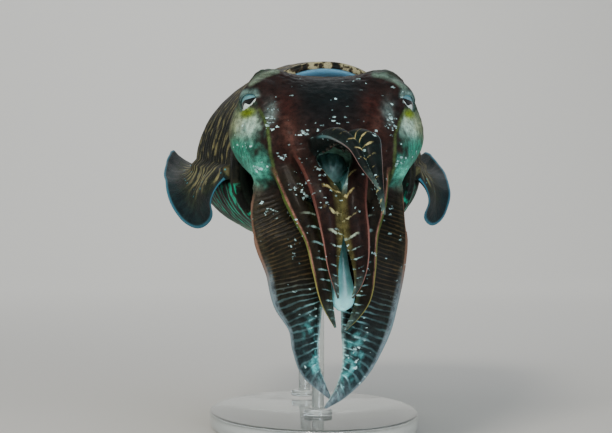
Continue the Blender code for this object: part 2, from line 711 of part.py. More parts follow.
def make_mouth(collection, material):
    """The low dome where the arms meet."""
    normal = crown_normal()
    across = Vector((1, 0, 0))
    up = normal.cross(across)
    centre = crown_point(0, 1.0) + normal * GAP
    sides, steps = 14, 4
    rings = []
    for i in range(steps + 1):
        lift = i / steps
        radius = MOUTH_RADIUS * math.sqrt(max(0.0, 1 - lift**2.4)) + 0.8
        ring = []
        for k in range(sides):
            angle = 2 * math.pi * k / sides
            spoke = across * math.cos(angle) + up * math.sin(angle)
            ring.append(centre + normal * (MOUTH_HEIGHT * lift) + spoke * radius)
        rings.append(ring)
    return new_mesh("mouth", loft(rings), collection, material)


def funnel_ring(t, place, heading, outset):
    """A section of the funnel, flat at its root and round at its mouth."""
    width = blend_along(enumerate_rows(FUNNEL_WIDTHS), t)[0] + outset
    flat = FUNNEL_FLATNESS + (1 - FUNNEL_FLATNESS) * t / (len(FUNNEL_PATH) - 1)
    up = Vector((1, 0, 0)).cross(heading)
    points = []
    for k in range(FUNNEL_SIDES):
        angle = 2 * math.pi * k / FUNNEL_SIDES
        across = Vector((1, 0, 0)) * (width * math.cos(angle))
        points.append(place + across + up * ((width * flat + outset * (1 - flat)) * math.sin(angle)))
    return points


def funnel_rings(outset=0.0):
    frames = path_frames(FUNNEL_PATH, FUNNEL_RINGS)
    rings = []
    for i, (t, place, heading) in enumerate(frames):
        if i == 0:
            heading = Vector((0, -1, 0))
        rings.append(funnel_ring(t, place - heading * (outset if i == 0 else 0.0), heading, outset))
    return rings


def make_funnel(collection, material):
    """A flattened tube that narrows to a round, open nozzle."""
    rings = funnel_rings()
    t, place, heading = path_frames(FUNNEL_PATH, FUNNEL_RINGS)[-1]
    rings.append(funnel_ring(t, place, heading, -FUNNEL_WALL))
    rings.append(funnel_ring(t, place - heading * FUNNEL_BORE_DEPTH, heading, -FUNNEL_WALL))
    return new_mesh("funnel", loft(rings), collection, material)


def cylinder(name, collection, radius, low, high, centre_y, material=None):
    bm = bmesh.new()
    bmesh.ops.create_cone(
        bm, cap_ends=True, segments=ROD_SIDES, radius1=radius, radius2=radius, depth=high - low
    )
    made = new_mesh(name, bm, collection, material)
    made.location = Vector((0, centre_y, (low + high) / 2)) * METRES_PER_MM
    return made


def belly_height(y):
    half_width, rise, drop, line = blend_along(MANTLE_STATIONS, (y - MANTLE_FRONT_Y) / MANTLE_LENGTH)
    return line - drop


def make_stand(collection, material, mantle):
    """An oval base and two rods that enter blind holes in the belly."""
    bm = bmesh.new()
    bmesh.ops.create_cone(
        bm, cap_ends=True, segments=BASE_SIDES, radius1=1, radius2=1, depth=BASE_THICKNESS
    )
    bm.transform(Matrix.Diagonal((BASE_HALF_WIDTH, BASE_HALF_LENGTH, 1, 1)))
    base = new_mesh("stand_base", bm, collection, material)
    base.location.z = BASE_THICKNESS / 2 * METRES_PER_MM
    bevel = base.modifiers.new("Rounded edge", "BEVEL")
    bevel.width = BASE_BEVEL * METRES_PER_MM
    bevel.segments = 2
    holes = new_collection("rod_holes", hidden=True)
    for label, y in zip(("front", "rear"), ROD_YS):
        foot = BASE_THICKNESS + GAP
        top = belly_height(y) + ROD_SOCKET_DEPTH
        rod = cylinder("stand_rod_" + label, collection, ROD_RADIUS, foot, top, y, material)
        flanges = new_collection("flange_" + label, hidden=True)
        cylinder("flange", flanges, FLANGE_RADIUS, foot, foot + FLANGE_HEIGHT, y)
        boolean(rod, flanges, "UNION")
        cylinder("hole_" + label, holes, ROD_RADIUS + GAP, foot, top + GAP, y)
    boolean(mantle, holes, "DIFFERENCE")


def main():
    clear_scene()
    collection = new_collection("common_cuttlefish")
    materials = {name: new_material(name) for name in COLOURS}
    mantle = make_mantle(collection, materials["skin"])
    make_head(collection, materials["skin"])
    for side in ("right", "left"):
        make_fin(side, collection, materials["fin"])
        make_eye(side, collection, materials["eye"])
    make_mouth(collection, materials["mouth"])
    make_funnel(collection, materials["funnel"])
    finishes = {"plain": "arm", "blade": "blade", "club": "tentacle"}
    for name, spec in ARMS.items():
        make_arm(name, spec, collection, materials[finishes[spec["shape"]]])
    make_stand(collection, materials["acrylic"], mantle)


main()
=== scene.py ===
# Common cuttlefish, a life-size display model: skins, eyes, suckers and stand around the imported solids.
# Tables are in millimetres. -Y is the face, +Z is up, -X is the animal's right side.
import math

import bpy
import numpy as np
from mathutils import Matrix, Vector, kdtree, noise


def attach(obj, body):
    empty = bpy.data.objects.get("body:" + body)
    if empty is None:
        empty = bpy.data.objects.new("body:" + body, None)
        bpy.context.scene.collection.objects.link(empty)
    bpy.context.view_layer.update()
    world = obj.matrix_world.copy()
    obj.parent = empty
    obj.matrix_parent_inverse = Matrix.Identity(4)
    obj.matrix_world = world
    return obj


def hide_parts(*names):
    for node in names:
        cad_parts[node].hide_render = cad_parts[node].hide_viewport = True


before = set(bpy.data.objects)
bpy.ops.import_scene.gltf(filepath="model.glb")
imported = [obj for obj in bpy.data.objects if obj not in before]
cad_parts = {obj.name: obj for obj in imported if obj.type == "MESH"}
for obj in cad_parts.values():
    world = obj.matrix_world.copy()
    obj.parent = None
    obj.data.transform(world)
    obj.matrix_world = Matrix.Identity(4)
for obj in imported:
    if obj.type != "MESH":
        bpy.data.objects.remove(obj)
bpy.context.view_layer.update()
mm = 0.001
print("stage: frame loaded")


# Small tools.

def linear(hexText):
    # an sRGB hex value as linear red, green, blue
    parts = [int(hexText[i:i + 2], 16) / 255 for i in (1, 3, 5)]
    return np.array([p / 12.92 if p <= 0.04045 else ((p + 0.055) / 1.055) ** 2.4 for p in parts])


def rgba(hexText):
    return (*linear(hexText), 1.0)


def ease(low, high, value):
    # 0 below low, 1 above high, smooth between
    share = np.clip((np.asarray(value, dtype=float) - low) / (high - low), 0.0, 1.0)
    return share * share * (3 - 2 * share)


def unit(rows):
    return rows / np.linalg.norm(rows, axis=-1, keepdims=True)


def blendAlong(stations, places):
    # smooth values of a table at these places; the first column is the place
    rows = np.array(stations, dtype=float)
    knots, values = rows[:, 0], rows[:, 1:]
    places = np.atleast_1d(places).astype(float)
    last = len(knots) - 1
    i = np.clip(np.searchsorted(knots, places, side="right") - 1, 0, last - 1)
    before, after = np.clip(i - 1, 0, last), np.clip(i + 2, 0, last)
    span = (knots[i + 1] - knots[i])[:, None]
    share = (places - knots[i])[:, None] / span
    slopeIn = (values[i + 1] - values[before]) / (knots[i + 1] - knots[before])[:, None] * span
    slopeOut = (values[after] - values[i]) / (knots[after] - knots[i])[:, None] * span
    return (values[i] * (2 * share**3 - 3 * share**2 + 1) + slopeIn * (share**3 - 2 * share**2 + share)
            + values[i + 1] * (3 * share**2 - 2 * share**3) + slopeOut * (share**3 - share**2))


def roundOutline(points, count):
    # a smooth closed outline through these points, evenly stepped
    ring = np.array(points, dtype=float)
    table = [(i, *ring[i % len(ring)]) for i in range(-2, len(ring) + 3)]
    return blendAlong(table, np.arange(count) * len(ring) / count)


def nothingSelected():
    if bpy.context.object and bpy.context.object.mode != "OBJECT":
        bpy.ops.object.mode_set(mode="OBJECT")
    bpy.ops.object.select_all(action="DESELECT")


def takeUp(piece):
    # selects one piece alone and makes it active
    nothingSelected()
    piece.select_set(True)
    bpy.context.view_layer.objects.active = piece
    return piece


def applyModifier(piece, kind, **settings):
    takeUp(piece)
    bpy.ops.object.modifier_add(type=kind)
    modifier = piece.modifiers[-1]
    for key, value in settings.items():
        setattr(modifier, key, value)
    bpy.ops.object.modifier_apply(modifier=modifier.name)


def joinPieces(first, *others):
    takeUp(first)
    for other in others:
        other.select_set(True)
    bpy.ops.object.join()
    return first


def settle(piece):
    # puts a piece's place, turn and size into its mesh
    takeUp(piece)
    bpy.ops.object.transform_apply(location=True, rotation=True, scale=True)
    return piece


def faceOut(piece):
    takeUp(piece)
    bpy.ops.object.mode_set(mode="EDIT")
    bpy.ops.mesh.select_all(action="SELECT")
    bpy.ops.mesh.normals_make_consistent(inside=False)
    bpy.ops.object.mode_set(mode="OBJECT")
    piece.data.shade_smooth()
    return piece


def ringMesh(name, rings):
    # a closed skin over rings of equally many points, in millimetres
    rings = np.asarray(rings)
    count, sides = rings.shape[:2]
    index = np.arange(count * sides).reshape(count, sides)
    turned = np.roll(index, -1, axis=1)
    faces = np.stack([index[:-1], turned[:-1], turned[1:], index[1:]], axis=-1).reshape(-1, 4).tolist()
    faces += [index[0][::-1].tolist(), index[-1].tolist()]
    mesh = bpy.data.meshes.new(name)
    mesh.from_pydata((rings.reshape(-1, 3) * mm).tolist(), [], faces)
    piece = bpy.data.objects.new(name, mesh)
    bpy.context.scene.collection.objects.link(piece)
    return faceOut(piece)


def pointsOf(piece):
    # vertex places in millimetres
    flat = np.empty(len(piece.data.vertices) * 3)
    piece.data.vertices.foreach_get("co", flat)
    return flat.reshape(-1, 3) / mm


def writeNumbers(piece, name, values):
    layer = piece.data.attributes.new(name, "FLOAT", "POINT")
    layer.data.foreach_set("value", np.asarray(values, dtype=np.float32).ravel())


def writeColours(piece, name, rows):
    layer = piece.data.attributes.new(name, "FLOAT_COLOR", "POINT")
    full = np.concatenate([np.clip(rows, 0, 1), np.ones((len(rows), 1))], axis=1)
    layer.data.foreach_set("color", full.astype(np.float32).ravel())


def unevenness(points, size, seed=0.0):
    # soft noise at each point, -1 to 1, with lumps of about this size
    offset = Vector((seed, 2.7 * seed, -seed))
    return np.array([noise.noise(Vector(p) / size + offset) for p in points])


def handIn(piece, slot, *nodes):
    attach(piece, "root")
    if nodes:
        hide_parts(*nodes)


# Mantle and fins, one skin.

mantle = {
    "frontY": -62.0, "length": 200.0, "roundness": 2.15, "lobe": 7.0,
    # share of length, half width, rise and drop from the fin line, height of the fin line
    "sections": (
        (0.00, 42.5, 52.0, 32.0, 124.5), (0.12, 47.0, 53.0, 35.0, 126.0), (0.26, 53.0, 53.0, 37.0, 128.5),
        (0.44, 58.0, 49.0, 37.0, 131.0), (0.62, 56.5, 43.0, 33.5, 131.0), (0.80, 46.5, 33.0, 26.0, 130.0),
        (0.92, 30.0, 21.0, 17.0, 129.0), (0.98, 14.5, 11.0, 9.0, 128.5), (1.00, 4.0, 3.5, 3.0, 128.5),
    ),
    # the rolled front edge, from inside: back from the front, outset, share of the lobe
    "lip": ((13.0, -9.0, 0.0), (8.0, -8.0, 0.1), (4.5, -7.0, 0.4), (2.2, -5.6, 0.8), (0.8, -4.0, 1.0),
            (0.15, -2.6, 1.0), (0.1, -1.5, 1.0), (0.6, -0.6, 1.0), (1.3, -0.15, 1.0)),
    "rings": 172, "topSides": 96, "bellySides": 58,
    "pleatPitch": 5.4, "pleatHeight": 0.32, "lumpHeight": 0.3,
}
fin = {
    "sides": 26, "rootHalf": 4.2, "rootThickness": 3.2, "rimThickness": 0.8, "fillet": (2.3, 1.7),
    "drawnIn": {"right": 0.0, "left": 0.19}, "middle": (0.46, 0.22), "ripple": 0.3,
    # share of the mantle's length, width, tilt at the root and at the rim, sweep back of the rim
    "sections": (
        (0.038, 0.0, -40.0, -45.0, 0.0), (0.055, 5.0, -40.0, -50.0, 0.0), (0.082, 13.0, -44.0, -76.0, 0.0),
        (0.12, 22.0, -22.0, -130.0, 0.0), (0.165, 29.0, -26.0, -136.0, 0.0), (0.22, 30.5, -50.0, -96.0, 0.0),
        (0.335, 23.5, -64.0, -12.0, 0.0), (0.41, 20.5, -64.0, 22.0, 0.0), (0.56, 20.0, -46.0, 70.0, 0.0),
        (0.685, 21.5, 0.0, 62.0, 0.0), (0.81, 23.5, 6.0, 34.0, 3.0), (0.90, 22.0, -4.0, 12.0, 10.0),
        (0.955, 15.0, 0.0, 4.0, 15.0), (0.985, 7.0, 0.0, 0.0, 13.0), (1.0, 0.0, 0.0, 0.0, 9.0),
    ),
}


def mantlePoints(share, angles, outset):
    halfWidth, rise, drop, line = blendAlong(mantle["sections"], share)[0]
    c, s = np.cos(angles), np.sin(angles)
    power = 2 / mantle["roundness"]
    x = np.sign(c) * np.abs(c) ** power * (halfWidth + outset)
    z = np.sign(s) * np.abs(s) ** power * (np.where(s > 0, rise, drop) + outset)
    y = np.full_like(x, mantle["frontY"] + share * mantle["length"])
    return np.stack([x, y, line + z], axis=1)


def finPoints(side, share, top, bottom):
    # a fin's section, out along its upper face and back along the lower, with each point's reach
    width, tilt, rimTilt, sweep = blendAlong(fin["sections"], min(1.0, share))[0]
    centre, spread = fin["middle"]
    width = max(0.0, width) * (1 - fin["drawnIn"][side] * math.exp(-((share - centre) / spread) ** 2))
    count = fin["sides"]
    across = (np.arange(count) + 1) / count
    heading = np.radians(tilt + (rimTilt - tilt) * (across - 0.5 / count))
    spine = (top + bottom) / 2 + np.cumsum(
        np.stack([np.cos(heading), 0 * heading, np.sin(heading)], axis=1) * width / count, axis=0)
    spine[:, 1] += sweep * across
    high, deep = fin["fillet"]
    half = (fin["rootThickness"] * (1 - across) ** 1.6 + fin["rimThickness"]) / 2
    half = half + high * np.exp(-across * width / deep)
    half[-1] *= 0.3
    half[-2] *= 0.8
    normal = np.stack([-np.sin(heading), 0 * heading, np.cos(heading)], axis=1)
    along = share * mantle["length"]
    wave = math.sin(along / 3.1 + 1.3 * math.sin(along / 11)) * fin["ripple"]
    spine = spine + normal * (wave * across[:, None] ** 2)
    upper, lower = spine + normal * half[:, None], spine - normal * half[:, None]
    return np.concatenate([upper, lower[::-1]]), np.concatenate([across, across[::-1]]), width


def bodyRing(share, outset=0.0, back=0.0, lobeShare=None):
    # one ring round mantle and fins: over the back, the left fin, the belly, the right fin
    rise, drop = blendAlong(mantle["sections"], share)[0, 1:3]
    halfRoot = min(fin["rootHalf"], 0.3 * rise)
    power = mantle["roundness"] / 2
    high, low = math.asin((halfRoot / rise) ** power), math.asin((halfRoot / drop) ** power)
    over = np.linspace(math.pi - high, high, mantle["topSides"])
    under = np.linspace(-low, low - math.pi, mantle["bellySides"])
    along = share * mantle["length"]

    def relief(angles):
        near = np.exp(-((np.abs(np.cos(angles)) - 1) / 0.16) ** 2) * (np.sin(angles) > 0)
        pleat = np.sin(2 * math.pi * along / mantle["pleatPitch"] + 2.2 * np.sin(3 * angles)
                       + 5 * np.sin(along / 37))
        return outset + mantle["pleatHeight"] * near * pleat * float(ease(0.01, 0.06, share))

    if lobeShare is None:
        lobeShare = max(0.0, 1 - share / 0.3) ** 2
    parts, reaches, sines, lengths = [], [], [], []
    top = mantlePoints(share, over, relief(over))
    bottom = mantlePoints(share, under, relief(under))
    flank = np.linspace(high, -low, 2 * fin["sides"] + 2)[1:-1]
    for side, arc, angles in (("left", top, over), ("right", bottom, under)):
        parts.append(arc)
        reaches.append(np.zeros(len(arc)))
        sines.append(np.sin(angles))
        lengths.append(np.zeros(len(arc)))
        left = side == "left"
        ends = [mantlePoints(share, np.array([a]), outset)[0] for a in (high, -low)]
        points, across, width = finPoints(side, share, *ends)
        plain = mantlePoints(share, flank, outset)
        shown = float(ease(0.3, 2.5, width)) * (1.0 if outset == 0 else 0.0)
        points = plain + (points - plain) * shown
        sign = np.where(np.arange(len(points)) < fin["sides"], 0.07, -0.07)
        if not left:
            points = points[::-1] * np.array([-1, 1, 1])
            across, sign = across[::-1], sign[::-1]
        parts.append(points)
        reaches.append(across * shown)
        sines.append(sign)
        lengths.append(across * width * shown)
    ring, sines = np.concatenate(parts), np.concatenate(sines)
    ring[:, 1] += back - lobeShare * mantle["lobe"] * np.maximum(0.0, sines) ** 3
    return ring, np.concatenate(reaches), sines, np.concatenate(lengths)


def makeBodySkin():
    rings, reaches, sines, lengths, alongs, lips, shadedInsides = [], [], [], [], [], [], []
    # each ring's share of the length, outset, set back, share of the lobe and number on the lip, 99 past it
    plan = [(0.0, outset, back, lobeShare, lip)
            for lip, (back, outset, lobeShare) in enumerate(mantle["lip"])]
    for i in range(mantle["rings"] + 1):
        plan.append((0.01 + 0.99 * (1 - (1 - i / mantle["rings"]) ** 1.12), 0.0, 0.0, None, 99))
    plan += [(1.0, -1.2, 0.7, None, 99), (1.0, -2.4, 1.2, None, 99)]
    for share, outset, back, lobeShare, lip in plan:
        ring, reach, sine, length = bodyRing(share, outset, back, lobeShare)
        rings.append(ring)
        reaches.append(reach)
        sines.append(sine)
        lengths.append(length)
        alongs.append(np.full(len(ring), share * mantle["length"]))
        lips.append(np.full(len(ring), math.exp(-((lip - 3.0) / 1.5) ** 2) if lip < 99 else 0.0))
        # the inside of the rolled front edge, which the material paints near black as painted shade in the
        # mantle's opening
        shadedInsides.append(np.full(len(ring), 1.0 if lip < 5 else 0.0))
    body = ringMesh("body_skin", rings)
    points = pointsOf(body)
    reach, sine = np.concatenate(reaches), np.concatenate(sines)
    normals = np.array([v.normal for v in body.data.vertices])
    lump = unevenness(points, 7.0) + 0.5 * unevenness(points, 3.0, 5.0)
    fade = (1 - ease(0.0, 0.3, reach)) * ease(0.01, 0.06, np.concatenate(alongs) / mantle["length"])
    points = points + normals * (lump * fade * mantle["lumpHeight"])[:, None]
    body.data.vertices.foreach_set("co", (points * mm).ravel())
    body.data.update()
    for name, values in (("along", alongs), ("around", sines), ("finReach", reaches), ("finLength", lengths),
                         ("lip", lips), ("inside", shadedInsides)):
        writeNumbers(body, name, np.concatenate(values))
    return body


bodySkin = makeBodySkin()
handIn(bodySkin, "skin", "mantle", "fin_left", "fin_right")
print("stage: mantle and fins,", len(bodySkin.data.polygons), "faces")


# Head and arms, one skin.

head = {
    "sides": 120, "rings": 96, "roundness": 2.2, "turn": 0.04, "crownTilt": 38.0,
    "crown": np.array((-1.8, -107.0, 127.0)), "crownRings": 14, "crownRise": 1.0, "crownSwell": 4.6,
    # y, z, tilt in degrees, half width, rise, drop
    "sections": (
        (-50.3, 139.0, 0.0, 32.0, 24.0, 25.0), (-62.0, 140.0, 0.0, 34.0, 25.5, 27.0),
        (-74.0, 142.0, 3.0, 38.5, 26.5, 29.5), (-86.0, 140.5, 10.0, 40.0, 26.0, 28.0),
        (-95.0, 137.0, 19.0, 38.5, 24.5, 25.5), (-102.0, 132.0, 29.0, 36.6, 22.5, 23.0),
        (-107.0, 127.0, 38.0, 34.5, 21.5, 21.5),
    ),
    # centre on the right side, reach, push
    "swellings": (
        ((-30.0, -85.0, 162.5), 14.5, (-1.5, 0.0, 10.0)), ((-41.0, -84.0, 141.0), 15.0, (-4.0, 0.0, 0.0)),
    ),
    "voxel": 0.66, "smoothing": 5, "rootSmoothing": 90, "rootReach": 16.0, "rootRadius": 45.0,
}
eye = {
    "centre": np.array((-28.2, -91.0, 154.8)), "axis": (-0.875, -0.48, 0.05), "radius": 10.0,
    "orbit": 11.7, "socket": 10.3, "opening": (7.0, 3.2), "slant": 16.0,
    "pupil": 0.62, "pupilRise": -0.01, "pupilDepth": 0.045, "pupilHalf": 0.08, "frontRise": 0.25,
}


def turned(points):
    points = np.array(points, dtype=float)
    points[..., 0] -= head["turn"] * np.maximum(0.0, mantle["frontY"] - points[..., 1])
    return points


def onSide(point, side):
    # a point or direction given on the right side, or carried over to the left
    return np.array(point, dtype=float) * np.array([1 if side == "right" else -1, 1, 1])


def swell(points):
    fade = np.clip((-66.0 - points[:, 1]) / 8.0, 0.0, 1.0)
    moved = points.copy()
    for centre, reach, push in head["swellings"]:
        for side in ("right", "left"):
            fall = np.exp(-(np.linalg.norm(points - onSide(centre, side), axis=1) / reach) ** 2)
            moved += onSide(push, side) * (fall * fade)[:, None]
    return moved


def headRings():
    rings = []
    table = [(i, *row) for i, row in enumerate(head["sections"])]
    angles = np.arange(head["sides"]) * 2 * math.pi / head["sides"]
    c, s = np.cos(angles), np.sin(angles)
    power = 2 / head["roundness"]
    for i in range(head["rings"] + 1):
        t = (len(table) - 1) * i / head["rings"]
        y, z, tilt, halfWidth, rise, drop = blendAlong(table, t)[0]
        lean = math.radians(tilt)
        across = np.sign(c) * np.abs(c) ** power * halfWidth
        height = np.sign(s) * np.abs(s) ** power * np.where(s > 0, rise, drop)
        ring = np.stack([across, y - height * math.sin(lean), z + height * math.cos(lean)], axis=1)
        rings.append(turned(swell(ring)))
    middle = rings[-1].mean(axis=0)
    edge = rings[-1]
    for i in range(1, head["crownRings"] + 1):
        share = i / (head["crownRings"] + 0.6)
        swelling = head["crownSwell"] * math.sin(math.pi * min(1.0, share / 0.62)) ** 0.8
        bulge = (head["crownRise"] * math.sqrt(share) + swelling) * crownNormal
        rings.append(edge * (1 - share) + middle * share + bulge)
    return rings


crownLean = math.radians(head["crownTilt"])
crownNormal = np.array((0.0, -math.cos(crownLean), -math.sin(crownLean)))

arms = {
    "arm_1_right": {
        "root": (-5.6, 16.2), "shape": "plain", "keel": ((-1.0, 0.0, 0.35), (-0.8, -0.3, -0.5)),
        "path": ((-6.9, -128.5, 136.2), (-5.2, -138.0, 138.2), (-1.6, -148.0, 138.0), (3.6, -156.0, 133.4),
                 (7.4, -160.3, 125.3), (13.6, -161.5, 115.6)),
        "halfWidths": (4.7, 5.0, 4.8, 4.0, 2.6, 1.6, 0.5),
    },
    "arm_1_left": {
        "root": (5.6, 16.2), "shape": "plain", "keel": ((1.0, 0.0, 0.35), (1.0, -0.2, 0.0)),
        "path": ((4.8, -128.5, 136.4), (7.8, -138.0, 138.2), (10.8, -146.5, 136.6), (11.8, -151.5, 129.8),
                 (13.6, -154.0, 120.0), (16.4, -154.2, 105.6)),
        "halfWidths": (4.7, 5.0, 4.8, 4.6, 3.9, 2.3, 0.5),
    },
    "arm_2_right": {
        "root": (-13.2, 10.3), "shape": "plain", "keel": ((-0.75, -0.1, 0.5), (-1.0, -0.25, 0.0)),
        "path": ((-9.5, -126.0, 121.5), (-6.2, -132.0, 110.5), (-4.2, -134.5, 96.0), (-2.9, -133.0, 83.0),
                 (0.0, -128.5, 70.4)),
        "halfWidths": (4.9, 5.1, 4.8, 3.3, 2.0, 0.5),
        "margin": ((0.0, 0.0), (0.3, 0.0), (0.42, 3.6), (0.55, 4.6), (0.68, 2.6), (0.8, 0.9), (1.0, 0.0)),
    },
    "arm_2_left": {
        "root": (13.2, 10.3), "shape": "plain", "keel": ((0.75, -0.1, 0.5), (1.0, -0.25, 0.0)),
        "path": ((8.4, -126.0, 121.5), (7.1, -132.0, 110.5), (7.9, -134.5, 97.2), (9.2, -133.0, 85.8),
                 (8.6, -130.5, 77.0), (6.0, -128.5, 70.4)),
        "halfWidths": (4.9, 4.9, 4.6, 4.7, 3.2, 1.6, 0.5),
        "margin": ((0.0, 0.0), (0.28, 0.0), (0.38, 2.0), (0.52, 2.4), (0.62, 1.6), (0.8, 0.8), (1.0, 0.0)),
    },
    "arm_3_right": {
        "root": (-20.5, 1.5), "shape": "plain", "keel": ((-0.9, 0.1, 0.35), (-1.0, -0.3, -0.1)),
        "path": ((-18.8, -116.5, 116.0), (-15.2, -121.0, 107.0), (-10.3, -124.6, 95.0), (-7.6, -125.6, 82.2),
                 (-5.0, -125.0, 69.3), (-0.6, -121.5, 57.5)),
        "halfWidths": (5.4, 5.4, 5.0, 3.8, 3.3, 2.5, 0.5),
        "margin": ((0.0, 0.0), (0.3, 0.0), (0.45, 0.9), (0.8, 0.8), (1.0, 0.0)),
    },
    "arm_3_left": {
        "root": (20.5, 1.5), "shape": "plain", "keel": ((0.9, 0.1, 0.35), (1.0, -0.3, -0.2)),
        "path": ((17.9, -116.5, 116.0), (15.8, -121.0, 107.0), (13.4, -124.2, 96.5), (13.1, -124.5, 82.2),
                 (11.9, -122.5, 70.8), (8.6, -120.5, 63.0), (3.9, -118.5, 56.2)),
        "halfWidths": (5.4, 5.3, 4.8, 4.1, 3.4, 3.0, 1.9, 0.5),
        "margin": ((0.0, 0.0), (0.3, 0.0), (0.45, 0.9), (0.8, 0.8), (1.0, 0.0)),
    },
    "arm_4_right": {
        "root": (-18.8, -10.8), "shape": "blade", "keel": ((-1.0, 0.05, 0.1), (-1.0, -0.2, -0.6)),
        "path": ((-20.8, -106.0, 106.5), (-19.2, -110.2, 94.8), (-17.2, -111.6, 82.0), (-16.2, -112.4, 69.0),
                 (-13.9, -113.2, 57.5), (-13.4, -114.5, 47.7), (-10.9, -116.5, 38.0), (-2.7, -119.0, 27.1)),
        "halfWidths": (14.0, 15.9, 15.2, 12.7, 10.7, 6.5, 5.0, 3.7, 0.6),
        "margin": ((0.0, 0.0), (0.3, 0.0), (0.45, 1.2), (0.9, 0.9), (1.0, 0.0)),
    },
    "arm_4_left": {
        "root": (20.2, -10.8), "shape": "blade", "keel": ((1.0, 0.05, 0.1), (0.8, -0.2, -0.8)),
        "path": ((18.9, -106.0, 106.5), (19.5, -110.2, 94.8), (18.0, -111.6, 82.0), (16.0, -112.4, 69.0),
                 (13.9, -113.2, 56.0), (9.8, -116.2, 41.0), (2.6, -120.8, 30.0), (-5.2, -123.5, 23.4)),
        "halfWidths": (12.9, 13.6, 12.9, 12.7, 11.8, 10.2, 6.2, 2.7, 0.6),
        "margin": ((0.0, 0.0), (0.3, 0.0), (0.45, 1.2), (0.9, 0.9), (1.0, 0.0)),
    },
}
tentacles = {
    "tentacle_left": {
        "root": (8.5, -3.4), "shape": "club", "keel": ((1.0, 0.0, 0.0), (1.0, 0.0, 0.0)),
        "path": ((5.6, -113.8, 118.5), (3.4, -118.5, 106.0), (2.4, -121.0, 94.0), (2.6, -121.5, 84.0),
                 (2.7, -121.5, 75.0), (2.6, -121.5, 70.0), (2.3, -121.5, 66.6), (2.2, -121.5, 64.6)),
        "halfWidths": (2.3, 2.1, 1.9, 1.9, 2.7, 4.6, 5.1, 4.0, 1.4),
    },
    "tentacle_right": {
        "root": (-8.5, -3.4), "shape": "club", "keel": ((-1.0, 0.0, 0.0), (-1.0, 0.0, 0.0)),
        "path": ((-6.0, -111.5, 118.0), (-2.2, -114.0, 106.0), (-0.2, -115.2, 95.0), (0.2, -115.8, 85.0),
                 (0.2, -116.0, 77.0), (0.1, -116.0, 72.5), (0.0, -116.0, 69.5), (0.0, -116.0, 67.8)),
        "halfWidths": (2.3, 2.1, 1.9, 1.8, 2.4, 3.4, 3.6, 2.8, 1.2),
    },
}
limb = {
    "rootLead": 4.0, "rootGap": 0.3, "rootSink": 5.0, "rings": 110, "sides": 40, "least": 0.3,
    "plainThickness": 0.84, "bladeThickness": 3.3, "bladeWrap": 0.1, "clubFlatness": 0.55, "stalkRadius": 2.0,
    "fineFrom": 0.3, "fineRings": 120, "fineSides": 48,
    "marginAt": {"plain": (-0.9, 0.35), "blade": (-1.0, 0.25)}, "marginSpread": 0.22,
    # sections: shares of the half width towards the keel, and of the half thickness towards the front
    "sections": {
        "plain": ((1.0, 0.0), (0.62, 0.46), (0.1, 0.86), (-0.55, 0.8), (-0.92, 0.3), (-0.95, -0.3),
                  (-0.6, -0.66), (0.0, -0.86), (0.5, -0.8), (0.85, -0.35)),
        "blade": ((1.0, 0.0), (0.975, 0.15), (0.66, 0.32), (0.25, 0.55), (-0.25, 0.9), (-0.72, 0.86),
                  (-1.0, 0.25), (-0.92, -0.5), (-0.45, -0.95), (0.1, -0.62), (0.62, -0.32), (0.975, -0.15)),
        "club": ((1.0, 0.0), (0.8, 0.6), (0.32, 0.95), (-0.32, 0.95), (-0.8, 0.6), (-1.0, 0.0),
                 (-0.8, -0.6), (-0.32, -0.95), (0.32, -0.95), (0.8, -0.6)),
    },
}


def limbPoints(spec):
    # the limb's line: its root on the crown, straight out of it, then its own points
    across, up = spec["root"]
    root = head["crown"] + np.array((across, -up * math.sin(crownLean), up * math.cos(crownLean)))
    root = root + crownNormal * limb["rootGap"]
    return [root, root + crownNormal * limb["rootLead"], *[np.array(p) for p in spec["path"]]]


def limbFrames(spec, shares):
    # place, direction, keel and front directions, half width and half thickness at shares of the line
    points = limbPoints(spec)
    last = len(points) - 1
    t = np.asarray(shares, dtype=float) * last
    table = [(i, *p) for i, p in enumerate(points)]
    place = blendAlong(table, t)
    heading = unit(blendAlong(table, np.minimum(last, t + 0.01)) - blendAlong(table, np.maximum(0, t - 0.01)))
    lead = np.clip(1 - t, 0, 1)[:, None]
    heading = unit(heading * (1 - lead) + crownNormal * lead)
    start, end = np.array(spec["keel"][0]), np.array(spec["keel"][1])
    keel = start + (end - start) * (t / last)[:, None]
    keel = unit(keel - heading * (keel * heading).sum(axis=1, keepdims=True))
    front = np.cross(keel, heading) * (1 if start[0] < 0 else -1)
    widths = (spec["halfWidths"][0], *spec["halfWidths"])
    width = np.maximum(limb["least"], blendAlong(list(enumerate(widths)), t)[:, 0])
    if spec["shape"] == "plain":
        thick = width * limb["plainThickness"]
    elif spec["shape"] == "blade":
        thick = np.minimum(limb["bladeThickness"], 0.7 * width)
    else:
        thick = np.maximum(np.minimum(width, limb["stalkRadius"]), width * limb["clubFlatness"])
    return place, heading, keel, front, width, np.maximum(limb["least"], thick)


def limbSkin(spec, shares, outline, grow=None):
    # rings of points round a limb, with the thin margin that stands along its inner edge
    place, _, keel, front, width, thick = limbFrames(spec, shares)
    k, f = outline[:, 0][None, :, None], outline[:, 1][None, :, None]
    wrap = 0.0
    if spec["shape"] == "blade":
        wrap = limb["bladeWrap"] * width[:, None, None] * np.maximum(0, k) ** 2
    scale = 1.0 if grow is None else grow[:, None, None]
    margin = 0.0
    if "margin" in spec:
        reach = np.maximum(0.0, blendAlong(spec["margin"], shares))[:, :, None]
        corner = limb["marginAt"][spec["shape"]]
        margin = reach * np.exp(-((k - corner[0]) ** 2 + (f - corner[1]) ** 2) / limb["marginSpread"] ** 2)
    return place[:, None] + keel[:, None] * (width[:, None, None] * k * scale - margin) + front[:, None] * (
        thick[:, None, None] * f * scale - wrap)


